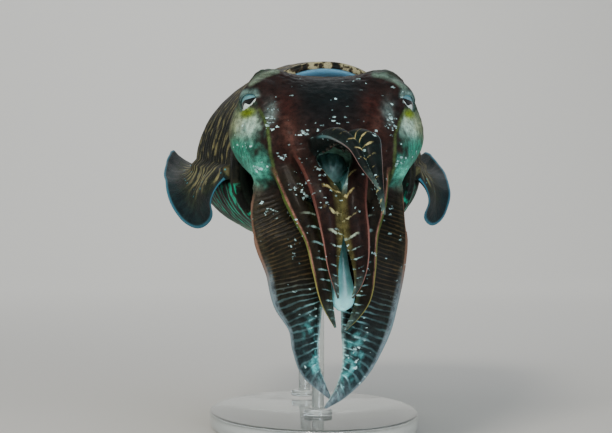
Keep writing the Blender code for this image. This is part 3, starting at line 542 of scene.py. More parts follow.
def limbLengths(spec, shares):
    # millimetres travelled along the line at these shares
    fine = np.linspace(0, 1, 400)
    place = limbFrames(spec, fine)[0]
    travelled = np.concatenate([[0], np.cumsum(np.linalg.norm(np.diff(place, axis=0), axis=1))])
    return np.interp(shares, fine, travelled), travelled[-1]


webs = {
    # pairs of neighbouring arms and how far, in millimetres, the skin between them reaches
    "pairs": (("arm_1_right", "arm_1_left", 17.0), ("arm_1_right", "arm_2_right", 15.0),
              ("arm_1_left", "arm_2_left", 15.0), ("arm_2_right", "arm_3_right", 24.0),
              ("arm_2_left", "arm_3_left", 24.0), ("arm_3_right", "arm_4_right", 20.0),
              ("arm_3_left", "arm_4_left", 20.0)),
    "halfThickness": 1.5, "thins": 0.55, "sink": 3.0, "rings": 16, "sides": 16,
}


def makeWeb(first, second, reach):
    rings = []
    for i in range(webs["rings"] + 1):
        length = -webs["sink"] + (reach + webs["sink"]) * i / webs["rings"]
        ends, headings = [], []
        for name in (first, second):
            spec = arms[name]
            fine = np.linspace(0, 1, 200)
            share = np.interp(max(0.0, length), limbLengths(spec, fine)[0], fine)
            place, heading = limbFrames(spec, [share])[:2]
            ends.append(place[0] + heading[0] * min(0.0, length))
            headings.append(heading[0])
        across = ends[1] - ends[0]
        out = unit(np.cross(across, headings[0] + headings[1]))
        thick = webs["halfThickness"] * (1 - webs["thins"] * i / webs["rings"])
        angles = np.arange(webs["sides"]) * 2 * math.pi / webs["sides"]
        middle = (ends[0] + ends[1]) / 2
        rings.append(middle + np.cos(angles)[:, None] * across / 2 + np.sin(angles)[:, None] * out * thick)
    return ringMesh("web", rings)


def makeEyeHoles(cutOut):
    # the two balls that the eyes sit in, or the hollows inside them with the parting of the lids
    made = []
    for side in ("right", "left"):
        centre = turned(onSide(eye["centre"], side)) * mm
        axis = Vector(unit(onSide(eye["axis"], side)))
        radius = (eye["socket"] if cutOut else eye["orbit"]) * mm
        bpy.ops.mesh.primitive_uv_sphere_add(segments=72, ring_count=36, radius=radius, location=centre)
        made.append(settle(bpy.context.object))
        if cutOut:
            bpy.ops.mesh.primitive_cylinder_add(vertices=56, radius=mm, depth=14 * mm,
                                                location=Vector(centre) + axis * 12 * mm)
            tunnel = bpy.context.object
            tunnel.rotation_euler = axis.to_track_quat("Z", "Y").to_euler()
            tunnel.scale = (*eye["opening"], 1)
            settle(tunnel)
            turn = math.radians(eye["slant"]) * (1 if side == "right" else -1)
            pivot = Matrix.Translation(Vector(centre))
            tunnel.data.transform(pivot @ Matrix.Rotation(turn, 4, axis) @ pivot.inverted())
            made.append(tunnel)
    return made


def cutWith(piece, tools, operation):
    for tool in tools:
        applyModifier(piece, "BOOLEAN", operation=operation, object=tool, solver="EXACT")
        bpy.data.objects.remove(tool)


def armRoot(name, spec):
    # voxels blunt the keels and lose the tips, so past the webs a fine length grows out of this one, and
    # this one draws in and ends inside it
    outline = roundOutline(limb["sections"][spec["shape"]], limb["sides"])
    start = limb["fineFrom"]
    shares = np.linspace(0, start + 0.1, 50)
    size = 1 + 0.12 * ease(start, 0.05, shares) - 0.22 * ease(start + 0.015, start + 0.05, shares)
    sunk = limbSkin(spec, np.zeros(1), outline) - crownNormal * limb["rootSink"]
    return ringMesh(name, np.concatenate([sunk, limbSkin(spec, shares, outline, size)]))


def armTip(spec):
    # the fine length, a little thinner where it leaves the root
    outline = roundOutline(limb["sections"][spec["shape"]], limb["fineSides"])
    start = limb["fineFrom"]
    shares = np.linspace(start, 1, limb["fineRings"] + 1)
    return ringMesh("tip", limbSkin(spec, shares, outline, 0.975 + 0.025 * ease(start, start + 0.03, shares)))


def armSamples(number, spec):
    # points over an arm's skin: place, arm number, length and share along the arm, place in the section
    outline = roundOutline(limb["sections"][spec["shape"]], limb["sides"])
    steps = np.linspace(0, 1, limb["rings"] + 1)
    cloud = limbSkin(spec, steps, outline).reshape(-1, 3)
    travelled, total = limbLengths(spec, steps)
    return (cloud, np.full(len(cloud), number), np.repeat(travelled, len(outline)),
            np.repeat(travelled / total, len(outline)), *np.tile(outline.T, len(steps)))


def softenRoots(skin):
    # melts the arms, their webs and the crown into one another
    points = pointsOf(skin)
    away = np.linalg.norm(points - (head["crown"] + crownNormal * 2), axis=1)
    depth = np.abs((points - head["crown"]) @ crownNormal)
    soft = np.exp(-(depth / head["rootReach"]) ** 4) * (away < head["rootRadius"])
    group = skin.vertex_groups.new(name="roots")
    for i in np.flatnonzero(soft > 0.02):
        group.add([int(i)], float(soft[i]), "REPLACE")
    applyModifier(skin, "SMOOTH", factor=0.5, iterations=head["rootSmoothing"], vertex_group="roots")
    applyModifier(skin, "SMOOTH", factor=0.5, iterations=head["smoothing"])
    skin.vertex_groups.clear()


def makeHeadSkin():
    rings = headRings()
    skin = ringMesh("head_skin", rings)
    cloud = np.concatenate(rings)
    samples = [(cloud, *np.zeros((5, len(cloud))))]
    cutWith(skin, makeEyeHoles(False), "UNION")
    cutWith(skin, makeEyeHoles(True), "DIFFERENCE")
    parts, tips = [], []
    for number, (name, spec) in enumerate(arms.items()):
        parts.append(armRoot(name, spec))
        tips.append(armTip(spec))
        samples.append(armSamples(number + 1, spec))
    for first, second, reach in webs["pairs"]:
        parts.append(makeWeb(first, second, reach))
    joinPieces(skin, *parts)
    applyModifier(skin, "REMESH", mode="VOXEL", voxel_size=head["voxel"] * mm, adaptivity=0.0)
    print("stage: head and arms fused,", len(skin.data.polygons), "faces")
    softenRoots(skin)
    fusedCount = len(skin.data.vertices)
    joinPieces(skin, *tips)
    skin.data.shade_smooth()
    return skin, fusedCount, [np.concatenate(column) for column in zip(*samples)]


def readLimbs(points, samples, kinds, lengths, shares, acrosses, fronts):
    # for each skin point: the nearest arm, its place along, across and front to back, and how much it is arm
    tree = kdtree.KDTree(len(samples))
    for i, p in enumerate(samples):
        tree.insert(p, i)
    tree.balance()
    found = np.zeros((len(points), 5))
    armness = ease(0.5, 11.0, lengths) * (kinds > 0)
    for row, p in enumerate(points):
        near = tree.find_n(p, 6)
        index = np.array([n[1] for n in near])
        weight = 1 / (np.array([n[2] for n in near]) + 0.15) ** 2
        own = weight * (kinds[index] == kinds[index[0]])
        own = own / own.sum()
        found[row] = (kinds[index[0]], own @ shares[index], own @ acrosses[index], own @ fronts[index],
                      weight @ armness[index] / weight.sum())
    return found.T


def partArms(skin, count):
    # the arms' fine lengths, joined on last, become a piece of their own
    takeUp(skin)
    skin.data.vertices.foreach_set("select", np.arange(len(skin.data.vertices)) >= count)
    for parts in (skin.data.edges, skin.data.polygons):
        parts.foreach_set("select", np.zeros(len(parts), dtype=bool))
    bpy.ops.object.mode_set(mode="EDIT")
    bpy.ops.mesh.select_mode(type="VERT")
    bpy.ops.mesh.separate(type="SELECTED")
    bpy.ops.object.mode_set(mode="OBJECT")
    parted = [piece for piece in bpy.context.selected_objects if piece != skin][0]
    parted.name = "arms_skin"
    return parted


headSkin, fusedCount, limbSamples = makeHeadSkin()
headPoints = pointsOf(headSkin)
armKind, armShare, armAcross, armFront, armness = readLimbs(headPoints, *limbSamples)
print("stage: head and arms,", len(headSkin.data.polygons), "faces")


# Eyes, mouth, funnel, tentacles, suckers.

def makeEye(side):
    centre = Vector(turned(onSide(eye["centre"], side)) * mm)
    bpy.ops.mesh.primitive_uv_sphere_add(segments=96, ring_count=64, radius=eye["radius"] * mm,
                                         location=(0, 0, 0))
    ball = bpy.context.object
    ball.name = "eyeball_" + side
    # the pupil is a W, read in the eye's own forward and upward directions
    local = pointsOf(ball) / eye["radius"]
    forward = local[:, 0] * (1 if side == "right" else -1)
    slant = math.radians(eye["slant"])
    u = forward * math.cos(slant) + local[:, 1] * math.sin(slant)
    v = local[:, 1] * math.cos(slant) - forward * math.sin(slant)
    wave = np.cos(2 * math.pi * u / eye["pupil"])
    middle = eye["pupilRise"] + eye["pupilDepth"] * wave
    half = eye["pupilHalf"] * (1 - (np.abs(u) / (eye["pupil"] * 1.08)) ** 4) + 0.03 * (1 - wave)
    edge = np.abs(v - middle) - half + np.where(local[:, 2] < 0.1, 1.0, 0.0)
    writeNumbers(ball, "pupilEdge", edge)
    writeNumbers(ball, "eyeUp", v)
    writeNumbers(ball, "eyeFront", local[:, 2])
    # the clear front stands a little proud of the ball
    for vertex in ball.data.vertices:
        lift = float(ease(0.62, 0.98, vertex.co.z / (eye["radius"] * mm)))
        vertex.co.z += eye["frontRise"] * mm * lift
    ball.rotation_euler = Vector(unit(onSide(eye["axis"], side))).to_track_quat("Z", "Y").to_euler()
    ball.location = centre
    settle(ball)
    ball.data.shade_smooth()
    return ball


eyeballs = {side: makeEye(side) for side in ("right", "left")}
for side, ball in eyeballs.items():
    handIn(ball, "eye", "eye_" + side)

funnel = {
    "path": ((0, -50.3, 104.4), (0, -65, 103.8), (0, -77, 101), (0, -88, 95.0)),
    "widths": (12.6, 11.0, 8.2, 5.6),
    "flatness": 0.54, "wall": 1.3, "bore": 12.0, "sides": 56, "rings": 44,
}


def makeFunnel():
    table = [(i, *p) for i, p in enumerate(funnel["path"])]
    last = len(table) - 1
    angles = np.arange(funnel["sides"]) * 2 * math.pi / funnel["sides"]

    def ring(t, outset, shift):
        place = blendAlong(table, t)[0]
        heading = unit(blendAlong(table, min(last, t + 0.01))[0] - blendAlong(table, max(0, t - 0.01))[0])
        if t == 0:
            heading = np.array((0, -1.0, 0))
        width = blendAlong(list(enumerate(funnel["widths"])), t)[0, 0] + outset
        flat = funnel["flatness"] + (1 - funnel["flatness"]) * t / last
        crease = 1 - 0.06 * np.exp(-((np.sin(angles) + 1) / 0.25) ** 2)
        up = np.cross((1, 0, 0), heading)
        return (place - heading * shift + np.cos(angles)[:, None] * np.array((width, 0, 0))
                + (np.sin(angles) * crease)[:, None] * up * width * flat)

    rings = [ring(last * i / funnel["rings"], 0.0, 0.0) for i in range(funnel["rings"] + 1)]
    for outset, shift in ((-0.25, -0.3), (-0.65, -0.42), (-1.05, -0.3), (-1.3, 0.2), (-1.4, 2.0), (-1.5, 6.0),
                          (-1.9, funnel["bore"])):
        rings.append(ring(last, outset, shift))
    tube = ringMesh("funnel_tube", rings)
    writeNumbers(tube, "paleness", ease(-50, -85, pointsOf(tube)[:, 1]))
    return tube


funnelTube = makeFunnel()
handIn(funnelTube, "funnel", "funnel")

mouth = {"radius": 6.6, "height": 9.6, "sides": 60, "rings": 26, "lobes": 12, "lobeDepth": 0.09, "up": 1.0}


def makeMouth():
    # the folded lip round the beak
    across = np.array((1.0, 0, 0))
    up = np.cross(crownNormal, across)
    centre = head["crown"] + np.array((0, -math.sin(crownLean), math.cos(crownLean))) * mouth["up"]
    angles = np.arange(mouth["sides"]) * 2 * math.pi / mouth["sides"]
    rings = []
    for i in range(mouth["rings"] + 1):
        lift = i / mouth["rings"]
        radius = mouth["radius"] * math.sqrt(max(0.0, 1 - lift**2.6)) + 0.5
        fold = 1 + mouth["lobeDepth"] * np.sin(mouth["lobes"] * angles) * math.sin(math.pi * lift)
        ring = centre + crownNormal * (mouth["height"] * lift)
        rings.append(ring + (np.cos(angles) * radius * fold)[:, None] * across
                     + (np.sin(angles) * radius * fold)[:, None] * up)
    lips = ringMesh("mouth_lips", rings)
    writeNumbers(lips, "paleness", 0.7 * ease(130, 120, pointsOf(lips)[:, 2]))
    return lips


mouthLips = makeMouth()
handIn(mouthLips, "mouth", "mouth")


def makeTentacle(name, spec):
    outline = roundOutline(limb["sections"]["club"], 30)
    steps = np.linspace(0, 1, 121)
    # the stalk leaves the crown as a thick soft root
    rings = limbSkin(spec, steps, outline, 1 + 0.8 * ease(0.3, 0.12, steps))
    sunk = rings[:1] - crownNormal * 3
    skin = ringMesh(name + "_skin", np.concatenate([sunk, rings]))
    travelled, total = limbLengths(spec, steps)
    share = np.repeat(np.concatenate([[0], travelled / total]), len(outline))
    paleness = 0.25 * ease(0.4, 0.85, share) + 0.8 * ease(0.84, 0.97, share) + ease(0.3, 0.1, share)
    writeNumbers(skin, "paleness", paleness)
    return skin


tentacleSkins = []
for name, spec in tentacles.items():
    tentacleSkins.append(makeTentacle(name, spec))
    handIn(tentacleSkins[-1], "tentacle", name + "_stalk", name + "_club")

cup = {
    "radii": (0.42, 0.85), "share": 0.15, "plus": 0.18, "pitch": 2.7, "from": 9.0, "sides": 8,
    "rows": (0.13, 0.38, 0.63, 0.88), "clubFrom": 0.52, "stopBefore": 1.2,
    # paleness at the limb's root and at its tip
    "tones": {"plain": (-0.3, 0.4), "blade": (0.1, 0.9), "club": (0.8, 1.0)},
    # the ends of the stretch of a section that carries the suckers
    "faces": {"plain": ((-0.98, -0.05), (-0.08, -0.86)), "blade": ((-1.0, 0.1), (-0.66, -0.75)),
              "club": ((-0.75, -0.7), (0.75, -0.7))},
}


def makeOneCup():
    # one sucker as by hand: a disc drawn up, flared, rolled in at the rim and sunk in the middle
    nothingSelected()
    bpy.ops.mesh.primitive_circle_add(vertices=cup["sides"], radius=0.62, fill_type="NGON",
                                      location=(0, 0, -0.5))
    one = bpy.context.object
    bpy.ops.object.mode_set(mode="EDIT")
    bpy.ops.mesh.select_all(action="SELECT")
    for lift, scale in ((0.6, 1.12), (0.5, 1.38), (0.28, 1.02), (0.08, 0.82), (-0.1, 0.86), (-0.34, 0.6)):
        bpy.ops.mesh.extrude_region_move(TRANSFORM_OT_translate={"value": (0, 0, lift)})
        bpy.ops.transform.resize(value=(scale, scale, 1))
    bpy.ops.mesh.poke()
    bpy.ops.object.mode_set(mode="OBJECT")
    settle(one)
    return faceOut(one)


def cupPlaces(spec):
    # foot, radius, side, heading and outward direction and tone of each sucker along a limb
    fine = np.linspace(0, 1, 500)
    travelled, total = limbLengths(spec, fine)
    (k0, f0), (k1, f1) = cup["faces"][spec["shape"]]
    low, high = cup["tones"][spec["shape"]]
    along = cup["clubFrom"] * total if spec["shape"] == "club" else cup["from"]
    step = 0
    while along < total - cup["stopBefore"]:
        share = np.interp(along, travelled, fine)
        place, heading, keel, front, width, thick = [row[0] for row in limbFrames(spec, [share])]
        across = keel * ((k1 - k0) * width) + front * ((f1 - f0) * thick)
        out = unit(np.cross(across, heading))
        if out @ (keel * (k0 + k1) * width + front * (f0 + f1) * thick) < 0:
            out = -out
        span = np.linalg.norm(across)
        radius = float(np.clip(cup["share"] * width + cup["plus"], *cup["radii"]))
        radius = min(radius, max(0.3, span / 4.6))
        tone = low + (high - low) * float(ease(0.2, 0.8, along / total))
        for row, rowShare in enumerate(cup["rows"]):
            # a narrow limb has room for every other row only
            if span < 7.5 * radius and row % 2 != step % 2:
                continue
            foot = place + keel * (width * (k0 + (k1 - k0) * rowShare)) + front * (
                thick * (f0 + (f1 - f0) * rowShare)) + heading * (radius * 1.1 * (row % 2))
            bow = 4 * rowShare * (1 - rowShare) * 0.07 * span
            yield foot + out * bow, radius, unit(across), heading, out, tone
        along += cup["pitch"] * radius
        step += 1


def makeSuckers():
    one = makeOneCup()
    shape = np.array([v.co for v in one.data.vertices])
    loops = [list(p.vertices) for p in one.data.polygons]
    bpy.data.objects.remove(one)
    points, faces, tones = [], [], []
    for spec in (*arms.values(), *tentacles.values()):
        for foot, radius, side, heading, out, tone in cupPlaces(spec):
            first = len(points) * len(shape)
            faces += [[v + first for v in loop] for loop in loops]
            points.append(foot + radius * shape @ np.array((side, heading, out)))
            tones.append(np.full(len(shape), tone))
    mesh = bpy.data.meshes.new("suckers")
    mesh.from_pydata((np.concatenate(points) * mm).tolist(), [], faces)
    piece = bpy.data.objects.new("suckers", mesh)
    bpy.context.scene.collection.objects.link(piece)
    writeNumbers(piece, "paleness", np.concatenate(tones))
    return faceOut(piece), len(points)


suckers, suckerCount = makeSuckers()
handIn(suckers, "arm")
print("stage: suckers,", suckerCount, "cups,", len(suckers.data.polygons), "faces")


# Stand.

stand = {
    "halfWidth": 52.0, "halfLength": 82.0, "thickness": 8.0, "bevel": 1.2,
    "rodRadius": 3.0, "rodYs": {"front": -28.0, "rear": 58.0}, "flange": (7.0, 3.0), "gap": 0.3, "sink": 5.0,
}


def makeBase():
    nothingSelected()
    bpy.ops.mesh.primitive_cylinder_add(vertices=160, radius=mm, depth=stand["thickness"] * mm,
                                        location=(0, 0, stand["thickness"] / 2 * mm))
    base = bpy.context.object
    base.name = "stand_foot"
    base.scale = (stand["halfWidth"], stand["halfLength"], 1)
    settle(base)
    applyModifier(base, "BEVEL", width=stand["bevel"] * mm, segments=4, limit_method="ANGLE")
    takeUp(base)
    bpy.ops.object.shade_smooth_by_angle(angle=math.radians(40))
    return base


def makeRod(label):
    # a disc drawn up into a flange, stepped in to the rod and drawn up into the belly
    y = stand["rodYs"][label]
    share = (y - mantle["frontY"]) / mantle["length"]
    drop, line = blendAlong(mantle["sections"], share)[0, 2:]
    foot = stand["thickness"] + stand["gap"]
    top = line - drop + stand["sink"]
    wide, high = stand["flange"]
    nothingSelected()
    bpy.ops.mesh.primitive_circle_add(vertices=64, radius=(wide - 0.3) * mm, fill_type="NGON",
                                      location=(0, y * mm, foot * mm))
    rod = bpy.context.object
    rod.name = "stand_pillar_" + label
    bpy.ops.object.mode_set(mode="EDIT")
    bpy.ops.mesh.select_all(action="SELECT")
    radius, thick = wide - 0.3, stand["rodRadius"]
    for lift, wanted in ((0.3, wide), (high - 0.8, wide), (0.5, wide - 0.5), (0.0, thick + 0.6),
                         (0.2, thick + 0.15), (0.5, thick), (top - foot - high - 1.0, thick),
                         (0.3, thick - 0.3)):
        bpy.ops.mesh.extrude_region_move(TRANSFORM_OT_translate={"value": (0, 0, lift * mm)})
        bpy.ops.transform.resize(value=(wanted / radius, wanted / radius, 1), center_override=(0, y * mm, 0))
        radius = wanted
    bpy.ops.object.mode_set(mode="OBJECT")
    settle(rod)
    faceOut(rod)
    takeUp(rod)
    bpy.ops.object.shade_smooth_by_angle(angle=math.radians(40))
    return rod


standFoot = makeBase()
handIn(standFoot, "acrylic", "stand_base")
pillars = [makeRod("front"), makeRod("rear")]
for rod, label in zip(pillars, ("front", "rear")):
    handIn(rod, "acrylic", "stand_rod_" + label)
print("stage: stand")


# Paint and materials.

def addNode(tree, kind, inputs=None, output=0, **settings):
    # one node with its settings, its values and its links; gives one of its outputs
    node = tree.nodes.new(kind)
    for key, value in settings.items():
        setattr(node, key, value)
    for key, value in (inputs or {}).items():
        if isinstance(value, bpy.types.NodeSocket):
            tree.links.new(value, node.inputs[key])
        else:
            node.inputs[key].default_value = value
    return node.outputs[output]


def newMaterial(name, **values):
    material = bpy.data.materials.new(name)
    material.use_nodes = True
    shader = material.node_tree.nodes["Principled BSDF"]
    for key, value in values.items():
        shader.inputs[key.replace("_", " ")].default_value = value
    return material, material.node_tree


def finished(material, links):
    # joins a material's patterns to its shader
    tree = material.node_tree
    for socket, value in links.items():
        tree.links.new(value, tree.nodes["Principled BSDF"].inputs[socket])
    return material


def wear(piece, material):
    piece.data.materials.clear()
    piece.data.materials.append(material)


def blendPaint(rows, colour, share):
    # lays a colour over rows of linear colours, by each row's share
    share = np.clip(share, 0, 1)[:, None]
    goal = linear(colour) if isinstance(colour, str) else colour
    return rows * (1 - share) + goal * share


def fromAhead(points):
    # where each point shows on an upright plate through the eyes, seen from 0.7 m ahead of the animal
    ahead = math.radians(studio["azimuth"])
    back = np.array((math.sin(ahead), -math.cos(ahead), 0.0))
    viewer = np.array(studio["target"]) + back * studio["distance"]
    away = points - viewer
    spread = (studio["target"][1] - viewer[1]) / away[:, 1:2]
    return (viewer + away * spread)[:, [0, 2]]


def nearLine(flat, line):
    # distance on the plate to a drawn line, and the share of the way along it
    best, along = np.full(len(flat), 1e9), np.zeros(len(flat))
    for i, (start, end) in enumerate(zip(np.array(line[:-1]), np.array(line[1:]))):
        step = end - start
        t = np.clip((flat - start) @ step / (step @ step), 0, 1)
        gap = np.linalg.norm(flat - start - t[:, None] * step, axis=1)
        along = np.where(gap < best, (i + t) / (len(line) - 1), along)
        best = np.minimum(best, gap)
    return best, along


headPaint = {
    "base": "#1f1412", "mottle": "#4a3f2c", "nape": "#2a2118", "throat": "#8f9c86",
    # centre on the right side, reach each way, colour, strength, sharpness of the edge
    "patches": (
        ((0.0, -106.0, 161.0), (21.0, 24.0, 15.0), "#040f11", 0.97, 1.5),
        ((0.0, -112.0, 146.0), (14.0, 12.0, 9.0), "#090d0f", 0.85, 1.3),
        ((19.5, -108.0, 152.0), (6.0, 10.0, 14.0), "#2a1411", 0.9, 1.4),
        ((18.0, -114.0, 138.0), (6.5, 10.0, 10.0), "#2e1812", 0.8, 1.4),
        ((35.0, -92.0, 138.0), (15.0, 18.0, 16.5), "#2f5f52", 1.0, 3.0),
        ((45.0, -84.0, 142.0), (8.0, 13.0, 12.0), "#474229", 0.9, 1.6),
        ((34.5, -95.0, 145.4), (9.5, 12.0, 6.8), "#87906f", 1.0, 2.0),
        ((32.0, -97.0, 142.8), (7.0, 10.0, 6.2), "#b3dace", 0.95, 1.5),
        ((36.0, -94.0, 134.6), (10.0, 13.0, 6.0), "#1e8a72", 0.85, 1.3),
        ((30.0, -98.5, 126.4), (7.0, 13.0, 6.0), "#5fd3b8", 0.92, 1.3),
        ((32.6, -97.0, 133.4), (2.4, 6.0, 3.6), "#123029", 0.75, 1.2),
        ((29.0, -80.0, 171.5), (10.0, 13.0, 4.6), "#26352b", 0.95, 1.8),
        ((40.0, -78.0, 163.0), (6.0, 9.0, 8.0), "#2c3320", 0.85, 1.6),
        ((34.6, -97.0, 150.4), (4.8, 6.0, 2.5), "#687c14", 1.0, 2.0),
        ((25.6, -104.0, 149.0), (2.6, 8.0, 5.5), "#7d9592", 0.5, 1.1),
    ),
    # lines drawn on the plate: points, half width, softness, colour, strength, relief
    "lines": (
        (((-32.3, 154.1), (-29.9, 149.3), (-28.1, 145.3), (-27.3, 139.6), (-26.7, 133.4), (-25.2, 126.4),
          (-22.0, 119.0)), 0.75, 0.45, "#3a4a26", 0.9, 0.8),
        (((33.9, 153.2), (31.4, 146.9), (29.5, 141.6), (29.5, 135.4), (29.0, 126.5), (26.0, 119.0)),
         0.7, 0.45, "#374524", 0.85, 0.75),
        (((-22.1, 170.5), (-27.4, 169.1), (-31.8, 166.9), (-35.4, 164.2)), 1.1, 0.9, "#7f9480", 0.55, 0.35),
        (((18.0, 169.0), (25.0, 168.2), (30.0, 166.0), (34.0, 162.5)), 1.1, 0.9, "#6d8a7c", 0.5, 0.35),
        (((-20.0, 151.0), (-18.6, 144.1), (-16.8, 137.9), (-14.6, 132.0), (-12.6, 126.5)),
         2.2, 0.9, "#452c26", 0.75, 0.5),
        (((22.0, 151.0), (21.6, 144.0), (21.0, 137.0), (20.0, 130.0)), 1.8, 0.9, "#3d2823", 0.65, 0.4),
    ),
    # crown: the roots' green, painted pale as painted light in the shade inside the crown
    "lidTop": "#607d78", "lidRim": "#a9ccc8", "crown": "#5f8676",
    # the pale stalk's colour, and on the plate its x, z, reach across and reach up
    "stalk": "#93c0be", "stalkAt": (6.9, 122.4, 2.6, 5.0),
}
armPaint = {
    # by arm pair: skin, keel near the root, keel near the tip, line beside the keel, inner margin
    1: ("#0b1413", "#3f6a6e", "#826560", "#16211f", "#26403a"),
    2: ("#1a0f0c", "#52302a", "#95695f", "#301813", "#5b5833"),
    3: ("#18140d", "#3f5322", "#8b874c", "#7c584b", "#39422a"),
    4: ("#13120a", "#755a4b", "#6b8087", "#2a281e", "#b4dede"),
}
bladePaint = {"low": "#1f3034", "glow": "#4b9a9c", "end": "#66757c"}  # lower skin, glowing blots, rim and end
barPaint = {
    # cross bars near the root and lower down, striations near the root and lower down, the arms' tips
    "cream": "#b9ae74", "white": "#93c4c6", "tan": "#5a4a30", "blue": "#9adbe2", "tip": "#4f6660",
    # by arm pair: where along the arm the bars start, and how strongly the inner edge is coloured
    "start": {1: 0.35, 2: 0.2, 3: 0.3}, "innerShare": {1: 0.35, 2: 0.95, 3: 0.5},
}
flecks = {
    # groups of bright cells on the plate: x, z, reach across, reach up, share of cells lit
    "groups": (
        (-26.4, 149.5, 2.8, 5.5, 1.0), (28.0, 148.0, 2.4, 5.0, 0.9), (-20.8, 131.2, 3.4, 2.0, 0.9),
        (-14.8, 126.6, 3.4, 2.2, 0.75), (-13.2, 118.8, 4.6, 2.6, 1.0), (-10.6, 114.3, 3.6, 3.0, 1.0),
        (-5.0, 128.0, 1.8, 6.5, 0.9), (-2.2, 125.4, 1.4, 4.5, 0.7), (-25.7, 107.4, 3.4, 1.7, 1.0),
        (-31.0, 110.6, 2.6, 1.8, 0.8), (-1.5, 110.2, 2.8, 1.4, 0.8), (-15.8, 93.9, 2.2, 2.4, 0.85),
        (-17.8, 91.3, 2.0, 2.0, 0.85), (-16.0, 88.6, 1.0, 3.4, 0.8), (-14.2, 72.6, 2.0, 1.6, 0.8),
        (-7.9, 98.5, 1.6, 1.4, 0.7), (20.1, 88.6, 1.8, 1.6, 0.8), (18.1, 68.5, 1.5, 1.5, 0.7),
        (16.5, 53.1, 1.6, 2.2, 0.8), (27.4, 107.9, 2.8, 2.4, 0.85), (18.5, 108.3, 1.6, 3.0, 0.8),
        (12.5, 108.0, 1.6, 2.0, 0.6), (5.0, 149.4, 5.6, 3.2, 0.62), (-10.0, 142.8, 6.5, 2.2, 0.6),
        (19.6, 142.2, 2.6, 1.8, 0.6), (-37.0, 136.0, 2.6, 3.0, 0.6), (-31.5, 127.0, 4.0, 3.0, 0.85),
        (33.0, 128.5, 3.0, 4.0, 0.6), (-5.0, 88.3, 1.4, 1.2, 0.7), (12.6, 43.0, 2.6, 5.0, 0.7),
        (-20.0, 72.0, 1.5, 1.5, 0.5),
    ),
    # the share of cells lit elsewhere, and their colour
    "head": 0.035, "arms": 0.07, "colour": "#c9f6f8",
}
stripes = {
    # by arm pair, mm from one cross bar or striation to the next near the root and lower down
    "pitch": {1: (5.0, 4.6), 2: (9.4, 4.4), 3: (6.6, 4.4), 4: (2.1, 3.6)},
    # the shares along the arm over which the pitch changes, and how far a pair's bars are led, in radians
    "change": {1: (0.3, 0.8), 2: (0.56, 0.66), 3: (0.56, 0.66), 4: (0.35, 0.8)},
    "lead": {2: 2.9},
    # how many radians a striation leads across half the arm, near the root and lower down
    "slopes": (14.0, 3.0),
    # height of the striations' folds, and where across the arm its keel line and the line beside it lie
    "relief": 0.14, "keel": (0.84, 0.91), "twin": (0.7, 0.8),
    # how far each pair's keel line draws in towards its edge
    "keelShift": {1: 0.07, 4: 0.06},
}


def shapeHead():
    # relief on the fused skin: the ridge under each eye, brow edges, small lumps, cross folds on the blades
    flat = fromAhead(headPoints)
    bare = (1 - ease(0.0, 0.3, armness)) * ease(-82, -90, headPoints[:, 1])
    normals = np.empty(len(headPoints) * 3)
    headSkin.data.vertices.foreach_get("normal", normals)
    push = np.zeros(len(headPoints))
    for line, half, *_, relief in headPaint["lines"]:
        gap, along = nearLine(flat, line)
        shown = bare * ease(0, 0.12, along) * ease(1.0, 0.9, along)
        push += relief * np.exp(-(gap / (half * 1.25)) ** 2) * shown
    lumps = unevenness(headPoints, 2.4, 7.0) + 0.7 * unevenness(headPoints, 5.0, 9.0)
    eyeClear = np.ones(len(headPoints))
    for side in ("right", "left"):
        gap = np.linalg.norm(headPoints - turned(onSide(eye["centre"], side)), axis=1)
        eyeClear *= ease(11.6, 14.0, gap)
    brow = np.exp(-((headPoints[:, 2] - 170) / 7) ** 2) * ease(8, 18, np.abs(headPoints[:, 0]))
    push += lumps * (0.2 + 0.3 * brow) * (1 - 0.75 * armness) * eyeClear
    blade = (armKind >= 7) * armness
    push += stripes["relief"] * np.sin(wavePhase) * blade * ease(1.0, 0.8, armAcross) * ease(0, 0.5, armFront)
    moved = headPoints + normals.reshape(-1, 3) * push[:, None]
    headSkin.data.vertices.foreach_set("co", (moved * mm).ravel())
    headSkin.data.update()
    return moved


def phases():
    # the turning of the cross bars and striations along each arm, in radians: bars bow down to the inner
    # edge, and striations fan out steeply near the root and level off lower down
    drift = unevenness(headPoints, 8.0, 3.0) + 0.35 * unevenness(headPoints, 3.0, 4.0)
    places = np.linspace(0, 1, 200)
    phase = np.zeros(len(headPoints))
    for number, spec in enumerate(arms.values()):
        pair = number // 2 + 1
        (near, far), (start, end) = stripes["pitch"][pair], stripes["change"][pair]
        pitch = near + (far - near) * ease(start, end, places)
        turns = np.concatenate([[0], np.cumsum(2 * math.pi / pitch[1:] * limbLengths(spec, 1)[1] / 199)])
        turning = np.interp(armShare, places, turns)
        if pair == 4:
            steep, level = stripes["slopes"]
            slope = steep + (level - steep) * ease(0.12, 0.55, armShare)
            turning = turning + 2.0 * drift - slope * (armAcross + 1)
        else:
            bow = 1.5 * armAcross - 0.7 * armAcross**2
            turning = turning + 0.6 * drift + bow + stripes["lead"].get(pair, 0.0)
        phase = np.where(armKind == number + 1, turning, phase)
    return phase


wavePhase = phases()


